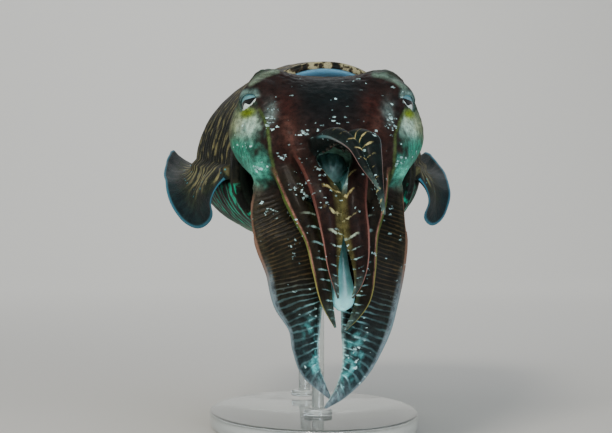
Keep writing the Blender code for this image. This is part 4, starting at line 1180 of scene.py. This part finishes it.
def paintFace(straight, flat, mottle, small):
    # the head's own colours: nape, throat, patches, and the lines drawn on the plate
    rows = np.tile(linear(headPaint["base"]), (len(headPoints), 1))
    rows = blendPaint(rows, headPaint["nape"], ease(-88, -70, straight[:, 1]))
    spotted = ease(0.1, 0.45, small + 0.6 * mottle) * ease(-92, -76, straight[:, 1])
    rows = blendPaint(rows, headPaint["mottle"], spotted * 0.9)
    throat = ease(128, 116, straight[:, 2]) * ease(-106, -92, straight[:, 1])
    rows = blendPaint(rows, headPaint["throat"], throat)
    # the cheeks end at the ridge that runs down from each eye
    beyond = []
    for sign, (line, *_) in zip((-1, 1), headPaint["lines"]):
        xs, zs = np.array(line)[::-1].T
        beyond.append(ease(-0.8, 0.8, sign * (flat[:, 0] - np.interp(flat[:, 1], zs, xs))))
    beyond = np.maximum(*beyond)
    sided = straight.copy()
    sided[:, 0] = np.abs(sided[:, 0])
    for centre, reach, colour, strength, sharpness in headPaint["patches"]:
        away = (((sided - np.array(centre)) / np.array(reach)) ** 2).sum(axis=1)
        away = away * (1 + 0.5 * small + 0.35 * mottle)
        strength = strength * (beyond if centre[0] >= 30 and centre[2] < 152 else 1.0)
        rows = blendPaint(rows, colour, strength * np.exp(-np.maximum(away, 0) ** sharpness))
    bare = ease(-82, -90, headPoints[:, 1])
    for line, half, soft, colour, strength, _ in headPaint["lines"]:
        gap, along = nearLine(flat, line)
        share = ease(half * (1 + soft), half * (1 - soft), gap * (1 + 0.3 * small)) * ease(0, 0.1, along)
        rows = blendPaint(rows, colour, strength * share * bare)
    return rows


def paintLids(rows):
    # grey skin over each eyeball, and a pale rim round its opening
    lid = np.zeros(len(headPoints))
    for side in ("right", "left"):
        centre, axis = turned(onSide(eye["centre"], side)), unit(onSide(eye["axis"], side))
        offset = headPoints - centre
        gap = np.linalg.norm(offset, axis=1)
        facing = offset @ axis / gap
        close = ease(13.0, 12.0, gap) * ease(0.6, 0.75, facing)
        over = ease(2.0, 3.5, offset[:, 2]) * ease(7.5, 5.0, offset[:, 2])
        rows = blendPaint(rows, headPaint["lidTop"], close * over * 0.7)
        lid = np.maximum(lid, ease(11.3, 10.6, gap) * ease(0.4, 0.6, facing))
    return blendPaint(rows, headPaint["lidRim"], lid * 0.5)


def paintBlades(rows, here, inner, mottle, small):
    # the lowest arms: bluer towards the tips, with glowing blots, a grey rim and short pale bars
    rows = blendPaint(rows, bladePaint["low"], here * ease(0.45, 0.9, armShare) * 0.9)
    glow = ease(-0.15, 0.5, small + 0.5 * mottle) * ease(0.58, 0.74, armShare) * ease(0.96, 0.88, armShare)
    rows = blendPaint(rows, bladePaint["glow"], here * glow * 0.85 * ease(0.35, -0.3, armAcross))
    rim = ease(0.74, 0.9, armAcross) * ease(0.3, 0.5, armShare)
    end = ease(0.84, 0.98, armShare)
    rows = blendPaint(rows, bladePaint["end"], here * np.maximum(rim * 0.75, end * 0.8))
    rows = blendPaint(rows, inner, here * ease(-0.95, -1.0, armAcross) * ease(0.4, 0.5, armShare))
    broken = 0.6 + 0.8 * unevenness(headPoints, 5.0, 5.0)
    faint = 0.48 - 0.34 * ease(0.42, 0.6, armShare)
    striae = here * faint * ease(0.03, 0.2, armShare) * (1 - rim) * broken
    short = ease(-0.1, -0.8, armAcross) + 0.12 * ease(0.5, -0.2, armAcross)
    bars = here * short * ease(0.47, 0.58, armShare) * ease(0.98, 0.88, armShare)
    return rows, bars * np.clip(1.3 * broken, 0, 1.6), striae


def paintArms(rows, pair, mottle, small):
    # the arms' skin; with it the keels' colours, and how strongly bars and striations show
    keels = rows.copy()
    barShare, striaShare = np.zeros(len(rows)), np.zeros(len(rows))
    for number, (skin, root, tip, beside, inner) in armPaint.items():
        here = (pair == number) * armness
        rows = blendPaint(rows, skin, here)
        late = ease(0.35, 0.8, armShare) if number != 4 else ease(0.3, 0.55, armShare)
        keel = blendPaint(np.tile(linear(root), (len(rows), 1)), tip, late)
        keels = np.where(here[:, None] > 0, keel, keels)
        twin = ease(*stripes["twin"], armAcross) * ease(-0.1, 0.15, armFront)
        twin = twin * (1 - ease(0.6, 0.8, armShare))
        rows = blendPaint(rows, beside, here * twin * (0.9 if number == 3 else 0.6))
        if number == 4:
            rows, barsHere, striaeHere = paintBlades(rows, here, inner, mottle, small)
            barShare += barsHere
            striaShare += striaeHere
            continue
        reach, start = barPaint["innerShare"][number], barPaint["start"][number]
        edge = ease(-0.5, -1.0, armAcross) if number == 2 else ease(-0.35, -0.95, armAcross)
        rows = blendPaint(rows, inner, here * reach * edge * ease(0.12, 0.3, armShare))
        rows = blendPaint(rows, barPaint["tip"], here * ease(0.8, 1.0, armShare) * 0.6)
        wide = ease(0.5, -0.3, armAcross) + ease(-0.5, -0.9, armAcross)
        barShare += here * wide * ease(start, start + 0.12, armShare)
    return rows, keels, barShare, striaShare


def paintCrown(rows, flat, pair):
    # a soft pale stalk inside the crown, and the green of the arms' roots, painted paler than it is to lift
    # the shade inside the crown
    x, z, across, up = headPaint["stalkAt"]
    away = ((flat - np.array((x, z))) / np.array((across, up))) ** 2
    soft = np.exp(-away.sum(axis=1) ** 1.3) * (pair > 0) * (armFront < 0.7)
    rows = blendPaint(rows, headPaint["stalk"], 0.9 * soft)
    crownShadeLift = ease(17.0, 12.0, np.linalg.norm(headPoints - (head["crown"] + 5 * crownNormal), axis=1))
    return blendPaint(rows, headPaint["crown"], 0.85 * crownShadeLift * ease(0.3, 0.1, armShare))


def barTints(pair):
    # colours of the cross bars and, on the lowest arms, of the striations
    whiter = np.where(pair == 3, ease(0.2, 0.5, armShare), ease(0.42, 0.8, armShare) * (pair == 2))
    bars = blendPaint(np.tile(linear(barPaint["cream"]), (len(pair), 1)), barPaint["white"], whiter)
    striae = np.tile(linear(barPaint["tan"]), (len(pair), 1))
    striae = blendPaint(striae, barPaint["blue"], ease(0.42, 0.62, armShare))
    return np.where((pair == 4)[:, None], striae, bars)


def fleckShares(flat, pair):
    # the share of bright cells lit: few everywhere, many in the groups
    found = np.where(pair > 0, flecks["arms"] * armness, flecks["head"]) + flecks["head"] * (1 - armness)
    front = ease(-84, -90, headPoints[:, 1]) * np.where(pair > 0, ease(-0.3, 0.2, armFront), 1.0)
    for x, z, across, up, share in flecks["groups"]:
        away = ((flat - np.array((x, z))) / np.array((across, up))) ** 2
        found = np.maximum(found, share * np.exp(-away.sum(axis=1) ** 1.5) * front)
    return found


def paintHead():
    pair = np.where(armKind > 0, (armKind.astype(int) + 1) // 2, 0)
    straight = headPoints.copy()
    straight[:, 0] += head["turn"] * np.maximum(0.0, mantle["frontY"] - straight[:, 1])
    flat = fromAhead(headPoints)
    mottle, small = unevenness(headPoints, 9.0, 1.0), unevenness(headPoints, 2.6, 2.0)
    rows = paintLids(paintFace(straight, flat, mottle, small))
    rows, keels, barShare, striaShare = paintArms(rows, pair, mottle, small)
    rows = paintCrown(rows * (1 + 0.3 * mottle + 0.2 * small)[:, None], flat, pair)
    for name, colours in (("tint", rows), ("keelTint", keels), ("barTint", barTints(pair))):
        writeColours(headSkin, name, colours)
    begun = np.where(pair == 1, ease(0.3, 0.42, armShare), ease(0.02, 0.12, armShare))
    lineAcross = armAcross - np.array([stripes["keelShift"].get(number, 0.0) for number in pair])
    for name, values in (("wavePhase", wavePhase), ("lineAcross", lineAcross), ("barShare", barShare),
                         ("striaShare", striaShare), ("keelShare", armness * (pair > 0) * begun),
                         ("fleckShare", fleckShares(flat, pair))):
        writeNumbers(headSkin, name, values)


skinGrain = {
    # sizes in mm: pigment patches, pigment dots, reflecting cells, wrinkles, and the depth of the bump;
    # living pigment dots are under 0.5 mm, drawn a little coarser so that they show
    "patch": 3.0, "dot": 0.85, "cell": 2.0, "wrinkle": 1.1, "depth": 0.35,
    # the bright cells' outlines are pushed about by noise of this size, this far in metres, and lie flat
    "push": 1 / 0.7, "pushed": 0.0026, "flatten": (0.85, 0.85, 1.45),
    # a fleck's least radius, and what chance and the share of cells lit add to it, in cells
    "fleck": (0.07, 0.26, 0.2),
}


def fleckPattern(tree, place, share):
    # each cell shows as a bright fleck where its own random number is under the share of cells lit
    drift = addNode(tree, "ShaderNodeTexNoise", {"Vector": place, "Scale": 1 / (skinGrain["push"] * mm)},
                    "Color")
    flatter = addNode(tree, "ShaderNodeVectorMath", {0: place, 1: skinGrain["flatten"]}, operation="MULTIPLY")
    moved = addNode(tree, "ShaderNodeVectorMath", {0: drift, 1: (skinGrain["pushed"],) * 3, 2: flatter},
                    operation="MULTIPLY_ADD")
    cells = addNode(tree, "ShaderNodeTexVoronoi", {
        "Vector": moved, "Scale": 1 / (skinGrain["cell"] * mm)}).node
    chance = addNode(tree, "ShaderNodeSeparateColor", {0: cells.outputs["Color"]}).node
    chosen = addNode(tree, "ShaderNodeMath", {0: chance.outputs[0], 1: share}, operation="LESS_THAN")
    size, byChance, byShare = skinGrain["fleck"]
    for source, factor in ((chance.outputs[1], byChance), (share, byShare)):
        size = addNode(tree, "ShaderNodeMath", {0: source, 1: factor, 2: size}, operation="MULTIPLY_ADD")
    inside = addNode(tree, "ShaderNodeMath", {0: size, 1: cells.outputs["Distance"]}, operation="SUBTRACT")
    return inside, chosen, chance.outputs[2]


def makeHeadMaterial():
    # living cuttlefish skin, wet and soft: dark pigment dots over a pale sheen, lines along the keels and
    # flecks of bright cells; the eye reads a dark, slightly moist hide
    material, tree = newMaterial("wet_cuttlefish_skin", Coat_Weight=0.03, Coat_Roughness=0.2,
                                 Subsurface_Weight=0.06, Subsurface_Scale=0.002, Specular_IOR_Level=0.1)
    place = addNode(tree, "ShaderNodeTexCoord", None, "Object")
    read = {}
    for output, names in (("Color", ("tint", "keelTint", "barTint")),
                          ("Fac", ("wavePhase", "lineAcross", "barShare", "striaShare", "keelShare",
                                   "fleckShare"))):
        for name in names:
            read[name] = addNode(tree, "ShaderNodeAttribute", None, output, attribute_name=name)
    patch = addNode(tree, "ShaderNodeTexNoise", {
        "Vector": place, "Scale": 1 / (skinGrain["patch"] * mm), "Detail": 4.0, "Roughness": 0.62})
    dots = addNode(tree, "ShaderNodeTexVoronoi", {"Vector": place, "Scale": 1 / (skinGrain["dot"] * mm)})
    wrinkle = addNode(tree, "ShaderNodeTexNoise", {
        "Vector": place, "Scale": 1 / (skinGrain["wrinkle"] * mm), "Detail": 5.0, "Roughness": 0.6})
    wave = addNode(tree, "ShaderNodeMath", {0: read["wavePhase"]}, operation="SINE")
    ragged = addNode(tree, "ShaderNodeMath", {0: patch, 1: 1.3, 2: wave}, operation="MULTIPLY_ADD")
    inside, chosen, glow = fleckPattern(tree, place, read["fleckShare"])
    ramps = {}
    for name, source, low, high, least, most in (
            ("tone", patch, 0.3, 0.7, 0.5, 1.6), ("dot", dots, 0.14, 0.36, 0.5, 1.08),
            ("bar", ragged, 1.5, 1.8, 0.0, 0.9), ("stria", ragged, 0.8, 1.8, 0.0, 1.0),
            ("keel", read["lineAcross"], *stripes["keel"], 0.0, 0.95),
            ("core", inside, -0.12, 0.12, 0.0, 1.0), ("glow", glow, 0.0, 1.0, 0.3, 1.0),
            ("rough", patch, 0.3, 0.7, 0.5, 0.7)):
        ramps[name] = addNode(tree, "ShaderNodeMapRange", {0: source, 1: low, 2: high, 3: least, 4: most},
                              interpolation_type="SMOOTHSTEP")
    shade = {}
    for name, first, *others in (
            ("tone", ramps["tone"], ramps["dot"]), ("bar", ramps["bar"], read["barShare"]),
            ("stria", ramps["stria"], read["striaShare"]), ("keel", ramps["keel"], read["keelShare"]),
            ("fleck", ramps["core"], chosen, ramps["glow"])):
        shade[name] = first
        for other in others:
            shade[name] = addNode(tree, "ShaderNodeMath", {0: shade[name], 1: other}, operation="MULTIPLY")
    grey = addNode(tree, "ShaderNodeCombineColor", {0: shade["tone"], 1: shade["tone"], 2: shade["tone"]})
    colour = addNode(tree, "ShaderNodeMix", {0: 1.0, 6: read["tint"], 7: grey}, 2, data_type="RGBA",
                     blend_type="MULTIPLY")
    for share, over in ((shade["stria"], read["barTint"]), (shade["bar"], read["barTint"]),
                        (shade["keel"], read["keelTint"]), (shade["fleck"], rgba(flecks["colour"]))):
        colour = addNode(tree, "ShaderNodeMix", {0: share, 6: colour, 7: over}, 2, data_type="RGBA")
    height = addNode(tree, "ShaderNodeMath", {0: ramps["dot"], 1: 0.3, 2: wrinkle}, operation="MULTIPLY_ADD")
    bump = addNode(tree, "ShaderNodeBump", {
        "Strength": 0.65, "Distance": skinGrain["depth"] * mm, "Height": height})
    return finished(material, {"Base Color": colour, "Roughness": ramps["rough"], "Normal": bump})


bodyPaint = {
    "back": "#1f1911", "backPale": "#57503a", "stripe": "#6f6b49", "dark": "#08110f", "belly": "#93a58c",
    "teal": "#05ad8a", "fin": "#161c14", "finMid": "#272f22", "finEdge": "#0e2228", "finBar": "#7f7c56",
    # inside: painted shade, near black over the inside of the rolled front edge, in the mantle's opening
    # lip: the blue line along the mantle's rim, its own blue painted much paler as painted light in the shade
    # under the lobe
    "rim": "#3f7f96", "lip": "#8fd9ff", "dot": "#39b6c9", "inside": "#1c2420", "rimPale": "#8b8769",
    # sizes in mm
    "stripePitch": 8.2, "stripeWarp": 17.0, "patch": 5.0, "cloud": 26.0, "pigmentDot": 0.9, "blueDot": 3.6,
    "wrinkle": 1.2, "depth": 0.5,
}


bodyRamps = {
    # by what a ramp reads: its name, where it begins and ends, and its values there. "along" is in mm from
    # the front edge, "around" runs from -1 on the belly to 1 on the back, and "reach" from a fin's root, 0,
    # to its rim, 1.
    "patch": {"pale": (0.42, 0.66, 0.0, 1.0), "rim blotch": (0.5, 0.56, 0.0, 0.95),
              "rim dark": (0.48, 0.42, 0.0, 0.9), "tone": (0.3, 0.7, 0.6, 1.45),
              "rough": (0.3, 0.7, 0.5, 0.7)},
    "broken": {"stripe": (2.1, 3.0, 0.0, 0.85), "shimmer": (1.75, 2.7, 0.0, 0.95),
               "bold": (1.7, 2.2, 0.0, 0.8)},
    "along": {"past lip": (5.0, 16.0, 0.0, 1.0), "fore": (110.0, 20.0, 0.35, 1.0),
              "front": (15.0, 6.0, 0.0, 1.0)},
    "around": {"flank": (0.92, 0.5, 0.0, 0.85), "upper": (-0.1, 0.06, 0.0, 1.0),
               "belly": (-0.62, -0.95, 0.0, 0.9), "above": (-0.15, 0.1, 0.0, 1.0),
               "flankLow": (-0.08, -0.2, 0.0, 1.0), "flankEnd": (-0.92, -0.6, 0.0, 1.0),
               "top": (0.66, 0.84, 0.0, 1.0)},
    "reach": {"fin": (0.04, 0.4, 0.0, 1.0), "inner": (0.62, 0.3, 0.0, 1.0),
              "bar near": (0.0, 0.08, 0.0, 1.0), "bar past": (0.5, 0.32, 0.0, 1.0),
              "outer": (0.5, 0.85, 0.0, 0.8), "near": (0.1, 0.22, 0.0, 1.0), "past": (0.6, 0.45, 0.0, 1.0),
              "rim": (0.93, 0.985, 0.0, 0.85)},
    "dots": {"pore": (0.14, 0.38, 0.55, 1.06)}, "blue": {"dot": (0.17, 0.1, 0.0, 0.9)},
    "lip": {"lip": (0.3, 0.6, 0.0, 0.95)}, "inside": {"inside": (0.3, 0.7, 0.0, 0.95)},
}


def makeBodyMaterial():
    # wet cuttlefish skin of the sac and fins: broken pale stripes on dark brown, teal sheen low on the sides
    material, tree = newMaterial("striped_cuttlefish_skin", Coat_Weight=0.03, Coat_Roughness=0.22,
                                 Subsurface_Weight=0.06, Subsurface_Scale=0.002, Specular_IOR_Level=0.12)
    place = addNode(tree, "ShaderNodeTexCoord", None, "Object")
    along, around, reach, lip, inside = [
        addNode(tree, "ShaderNodeAttribute", None, "Fac", attribute_name=name)
        for name in ("along", "around", "finReach", "lip", "inside")]
    noises = {}
    for name, detail in (("patch", 5.0), ("cloud", 3.0), ("wrinkle", 5.0)):
        noises[name] = addNode(tree, "ShaderNodeTexNoise", {
            "Vector": place, "Scale": 1 / (bodyPaint[name] * mm), "Detail": detail, "Roughness": 0.62})
    dots, blue = [
        addNode(tree, "ShaderNodeTexVoronoi", {"Vector": place, "Scale": 1 / (bodyPaint[name] * mm)})
        for name in ("pigmentDot", "blueDot")]
    warp = addNode(tree, "ShaderNodeMath", {0: noises["cloud"], 1: bodyPaint["stripeWarp"]},
                   operation="MULTIPLY")
    phase = addNode(tree, "ShaderNodeMath", {0: along, 1: 2 * math.pi / bodyPaint["stripePitch"], 2: warp},
                    operation="MULTIPLY_ADD")
    wave = addNode(tree, "ShaderNodeMath", {0: phase}, operation="SINE")
    broken = addNode(tree, "ShaderNodeMath", {0: noises["patch"], 1: 3.4, 2: wave}, operation="MULTIPLY_ADD")
    sources = {"patch": noises["patch"], "broken": broken, "along": along, "around": around, "reach": reach,
               "dots": dots, "blue": blue, "lip": lip, "inside": inside}
    ramp = {}
    for source, rows in bodyRamps.items():
        for name, (low, high, least, most) in rows.items():
            ramp[name] = addNode(tree, "ShaderNodeMapRange", {
                0: sources[source], 1: low, 2: high, 3: least, 4: most}, interpolation_type="SMOOTHSTEP")
    shade = {}
    for name, *others in (
            ("stripe", "upper", "inner", "past lip"), ("shimmer", "flankLow", "flankEnd", "fore"),
            ("tone", "pore"), ("dot", "near", "past"), ("lip", "top"), ("rim blotch", "front", "top"),
            ("rim dark", "front", "top"), ("bold", "bar near", "bar past", "above", "past lip")):
        shade[name] = ramp[name]
        for other in others:
            shade[name] = addNode(tree, "ShaderNodeMath", {0: shade[name], 1: ramp[other]},
                                  operation="MULTIPLY")
    finTone = addNode(tree, "ShaderNodeMix", {
        0: ramp["pale"], 6: rgba(bodyPaint["fin"]), 7: rgba(bodyPaint["finMid"])}, 2, data_type="RGBA")
    grey = addNode(tree, "ShaderNodeCombineColor", {0: shade["tone"], 1: shade["tone"], 2: shade["tone"]})
    colour = rgba(bodyPaint["back"])
    for share, over in ((ramp["pale"], "backPale"), (ramp["flank"], "dark"), (shade["rim blotch"], "rimPale"),
                        (shade["rim dark"], "dark"), (ramp["fin"], finTone),
                        (shade["stripe"], "stripe"), (shade["bold"], "finBar"), (ramp["belly"], "belly"),
                        (shade["shimmer"], "teal"), (ramp["outer"], "finEdge")):
        over = rgba(bodyPaint[over]) if isinstance(over, str) else over
        colour = addNode(tree, "ShaderNodeMix", {0: share, 6: colour, 7: over}, 2, data_type="RGBA")
    colour = addNode(tree, "ShaderNodeMix", {0: 1.0, 6: colour, 7: grey}, 2, data_type="RGBA",
                     blend_type="MULTIPLY")
    # the inside of the rolled front edge is painted near black, as painted shade in the mantle's opening
    # the rim's blue line goes on painted paler than it is, as painted light in the shade under the lobe
    for share, over in ((shade["dot"], "dot"), (ramp["rim"], "rim"), (ramp["inside"], "inside"),
                        (shade["lip"], "lip")):
        over = rgba(bodyPaint[over])
        colour = addNode(tree, "ShaderNodeMix", {0: share, 6: colour, 7: over}, 2, data_type="RGBA")
    height = addNode(tree, "ShaderNodeMath", {0: noises["patch"], 1: 1.5, 2: noises["wrinkle"]},
                     operation="MULTIPLY_ADD")
    bump = addNode(tree, "ShaderNodeBump", {
        "Strength": 0.6, "Distance": bodyPaint["depth"] * mm, "Height": height})
    return finished(material, {"Base Color": colour, "Roughness": ramp["rough"], "Normal": bump})


irisPaint = {
    # rear: painted shade, the colour the ball darkens to away from its front, where the lids shade it
    "white": "#e4f3f0", "silver": "#5c919b", "speck": "#8fb5b8", "rear": "#3d4d47", "pupil": "#020303",
    "grain": 1 / 1.4,  # mm
}


def makeEyeMaterial():
    # a cuttlefish's eye: silver iris with a black W, painted lid shade at its margins, under a clear wet
    # front that gives sharp highlights
    material, tree = newMaterial("silver_eye", Roughness=0.2, Coat_Weight=0.5, Coat_Roughness=0.03,
                                 Specular_IOR_Level=0.3)
    place = addNode(tree, "ShaderNodeTexCoord", None, "Object")
    edge, up, front = [addNode(tree, "ShaderNodeAttribute", None, "Fac", attribute_name=name)
                       for name in ("pupilEdge", "eyeUp", "eyeFront")]
    grain = addNode(tree, "ShaderNodeTexNoise", {
        "Vector": place, "Scale": 1 / (irisPaint["grain"] * mm), "Detail": 4.0})
    colour = rgba(irisPaint["white"])
    # away from its front the ball darkens with painted shade of the lids
    for source, low, high, most, over in ((up, -0.06, 0.06, 1.0, "silver"), (grain, 0.45, 0.7, 0.4, "speck"),
                                          (front, 0.5, 0.2, 1.0, "rear"), (edge, 0.01, -0.01, 1.0, "pupil")):
        share = addNode(tree, "ShaderNodeMapRange", {0: source, 1: low, 2: high, 3: 0.0, 4: most},
                        interpolation_type="SMOOTHSTEP")
        over = rgba(irisPaint[over])
        colour = addNode(tree, "ShaderNodeMix", {0: share, 6: colour, 7: over}, 2, data_type="RGBA")
    return finished(material, {"Base Color": colour})


paleGrain = {"dot": 1 / 0.9, "depth": 0.3, "pigment": "#4a4034"}  # pigment dots and bump in mm
paleSkins = {
    # darkest and palest colour, size of the clouds in mm, roughness
    "lip_skin": ("#2a4a45", "#8fc4c2", 2.2, 0.42), "funnel_skin": ("#4d5a4c", "#98a68f", 6.0, 0.42),
    "tentacle_skin": ("#3b7676", "#9be8ea", 5.0, 0.34), "sucker_skin": ("#27291f", "#a5cfd0", 1.5, 0.46),
}


def makePaleSkin(name):
    # thin wet skin with few pigment dots, as on the tentacles, mouth, funnel and suckers; the eye reads a
    # pale, slightly see-through hide with soft highlights
    dark, pale, size, roughness = paleSkins[name]
    material, tree = newMaterial(name, Coat_Weight=0.25, Coat_Roughness=0.15, Subsurface_Weight=0.15,
                                 Subsurface_Scale=0.002, Specular_IOR_Level=0.4)
    place = addNode(tree, "ShaderNodeTexCoord", None, "Object")
    cloud = addNode(tree, "ShaderNodeTexNoise", {"Vector": place, "Scale": 1 / (size * mm), "Detail": 4.0})
    dots = addNode(tree, "ShaderNodeTexVoronoi", {"Vector": place, "Scale": 1 / (paleGrain["dot"] * mm)})
    paleness = addNode(tree, "ShaderNodeAttribute", None, "Fac", attribute_name="paleness")
    mixed = addNode(tree, "ShaderNodeMath", {0: cloud, 1: 0.6, 2: paleness}, operation="MULTIPLY_ADD")
    colour = rgba(dark)
    for source, low, high, most, over in ((mixed, 0.3, 1.3, 1.0, pale),
                                          (dots, 0.22, 0.1, 0.35, paleGrain["pigment"])):
        share = addNode(tree, "ShaderNodeMapRange", {0: source, 1: low, 2: high, 3: 0.0, 4: most})
        colour = addNode(tree, "ShaderNodeMix", {0: share, 6: colour, 7: rgba(over)}, 2, data_type="RGBA")
    rough = addNode(tree, "ShaderNodeMapRange", {
        0: cloud, 1: 0.3, 2: 0.7, 3: roughness - 0.06, 4: roughness + 0.1})
    bump = addNode(tree, "ShaderNodeBump", {
        "Strength": 0.4, "Distance": paleGrain["depth"] * mm, "Height": cloud})
    return finished(material, {"Base Color": colour, "Roughness": rough, "Normal": bump})


# polishing leaves faint clouds of this size in mm; colours and roughness go from the first to the second
acrylicPaint = {"cloud": 50 / 3, "colours": ("#e6efee", "#f2f7f6"), "roughness": (0.03, 0.12)}


def makeAcrylic():
    # cast clear acrylic, sawn and polished: see-through, with bright edges and faint wear on its faces
    material, tree = newMaterial("clear_acrylic", IOR=1.49, Transmission_Weight=0.92)
    place = addNode(tree, "ShaderNodeTexCoord", None, "Object")
    cloud = addNode(tree, "ShaderNodeTexNoise", {
        "Vector": place, "Scale": 1 / (acrylicPaint["cloud"] * mm), "Detail": 6.0})
    first, second = [rgba(value) for value in acrylicPaint["colours"]]
    colour = addNode(tree, "ShaderNodeMix", {0: cloud, 6: first, 7: second}, 2, data_type="RGBA")
    smooth, worn = acrylicPaint["roughness"]
    rough = addNode(tree, "ShaderNodeMapRange", {0: cloud, 1: 0.3, 2: 0.7, 3: smooth, 4: worn})
    return finished(material, {"Base Color": colour, "Roughness": rough})


studio = {
    "target": (-10.7, -90.0, 105.0), "azimuth": -4.5, "distance": 700.0, "lens": 92.1, "sensor": 36.0,
    "floor": "#d9d9d5", "sky": "#f4f6f7", "skyStrength": 0.42,
    # the paper's width, its height up the wall and the reach of its roll, in metres
    "paper": (6.0, 3.0, 1.2),
    # name, place, size, power, colour
    "lights": (
        ("key", (-420, -820, 760), 260, 8.0, "#fff6ea"), ("fill", (260, -900, 170), 360, 3.8, "#eaf4ff"),
        ("back", (150, 620, 700), 500, 1.0, "#f2f8ff"), ("wall", (0, 1100, 1900), 1200, 34.0, "#ffffff"),
    ),
}

headPoints = shapeHead()
paintHead()
wear(headSkin, makeHeadMaterial())
armsSkin = partArms(headSkin, fusedCount)
handIn(headSkin, "skin", "head", *[name + "_base" for name in arms])
handIn(armsSkin, "skin", *[name + "_tip" for name in arms])
print("stage: head", len(headSkin.data.polygons), "faces, arms", len(armsSkin.data.polygons), "faces")
wear(bodySkin, makeBodyMaterial())
eyeMaterial = makeEyeMaterial()
for ball in eyeballs.values():
    wear(ball, eyeMaterial)
for material, pieces in ((makePaleSkin("lip_skin"), [mouthLips]), (makePaleSkin("funnel_skin"), [funnelTube]),
                         (makePaleSkin("tentacle_skin"), tentacleSkins),
                         (makePaleSkin("sucker_skin"), [suckers]), (makeAcrylic(), [standFoot, *pillars])):
    for piece in pieces:
        wear(piece, material)
print("stage: materials")


# Stage, lights and camera.

def makeStage():
    # a sheet on the floor, drawn up at its rear edge and rolled where it meets the wall
    width, height, roll = studio["paper"]
    nothingSelected()
    bpy.ops.mesh.primitive_plane_add(size=width, location=(0, 0, -0.5 * mm))
    floor = bpy.context.object
    floor.name = "floor"
    bpy.ops.object.mode_set(mode="EDIT")
    bpy.ops.mesh.select_all(action="DESELECT")
    bpy.ops.object.mode_set(mode="OBJECT")
    for edge in floor.data.edges:
        edge.select = all(floor.data.vertices[v].co.y > 0.49 * width for v in edge.vertices)
    bpy.ops.object.mode_set(mode="EDIT")
    bpy.ops.mesh.select_mode(type="EDGE")
    bpy.ops.mesh.extrude_region_move(TRANSFORM_OT_translate={"value": (0, 0, height)})
    bpy.ops.object.mode_set(mode="OBJECT")
    applyModifier(floor, "BEVEL", width=roll, segments=12, limit_method="ANGLE")
    settle(floor)
    floor.data.shade_smooth()
    # matt photographic paper, unrolled over floor and wall: even, with no gloss
    wear(floor, newMaterial("matt_paper", Roughness=0.75, Base_Color=rgba(studio["floor"]))[0])


makeStage()
for name, place, size, power, tint in studio["lights"]:
    nothingSelected()
    bpy.ops.object.light_add(type="AREA", location=Vector(place) * mm)
    lamp = bpy.context.object
    lamp.name = name + "_light"
    lamp.data.size = size * mm
    lamp.data.energy = power
    lamp.data.color = linear(tint)
    aim = Vector(studio["target"]) * mm if name != "wall" else Vector((0, studio["paper"][0] / 2, 0.9))
    lamp.rotation_euler = (aim - lamp.location).to_track_quat("-Z", "Y").to_euler()
world = bpy.data.worlds.new("studio")
world.use_nodes = True
sky = world.node_tree.nodes["Background"]
sky.inputs["Color"].default_value = rgba(studio["sky"])
sky.inputs["Strength"].default_value = studio["skyStrength"]
bpy.context.scene.world = world

azimuth = math.radians(studio["azimuth"])
nothingSelected()
bpy.ops.object.camera_add(
    location=(Vector(studio["target"])
              + Vector((math.sin(azimuth), -math.cos(azimuth), 0)) * studio["distance"]) * mm,
    rotation=(math.radians(90), 0, azimuth))
camera = bpy.context.object
camera.data.lens = studio["lens"]
camera.data.sensor_width = studio["sensor"]
bpy.context.scene.camera = camera
print("stage: camera and lights")
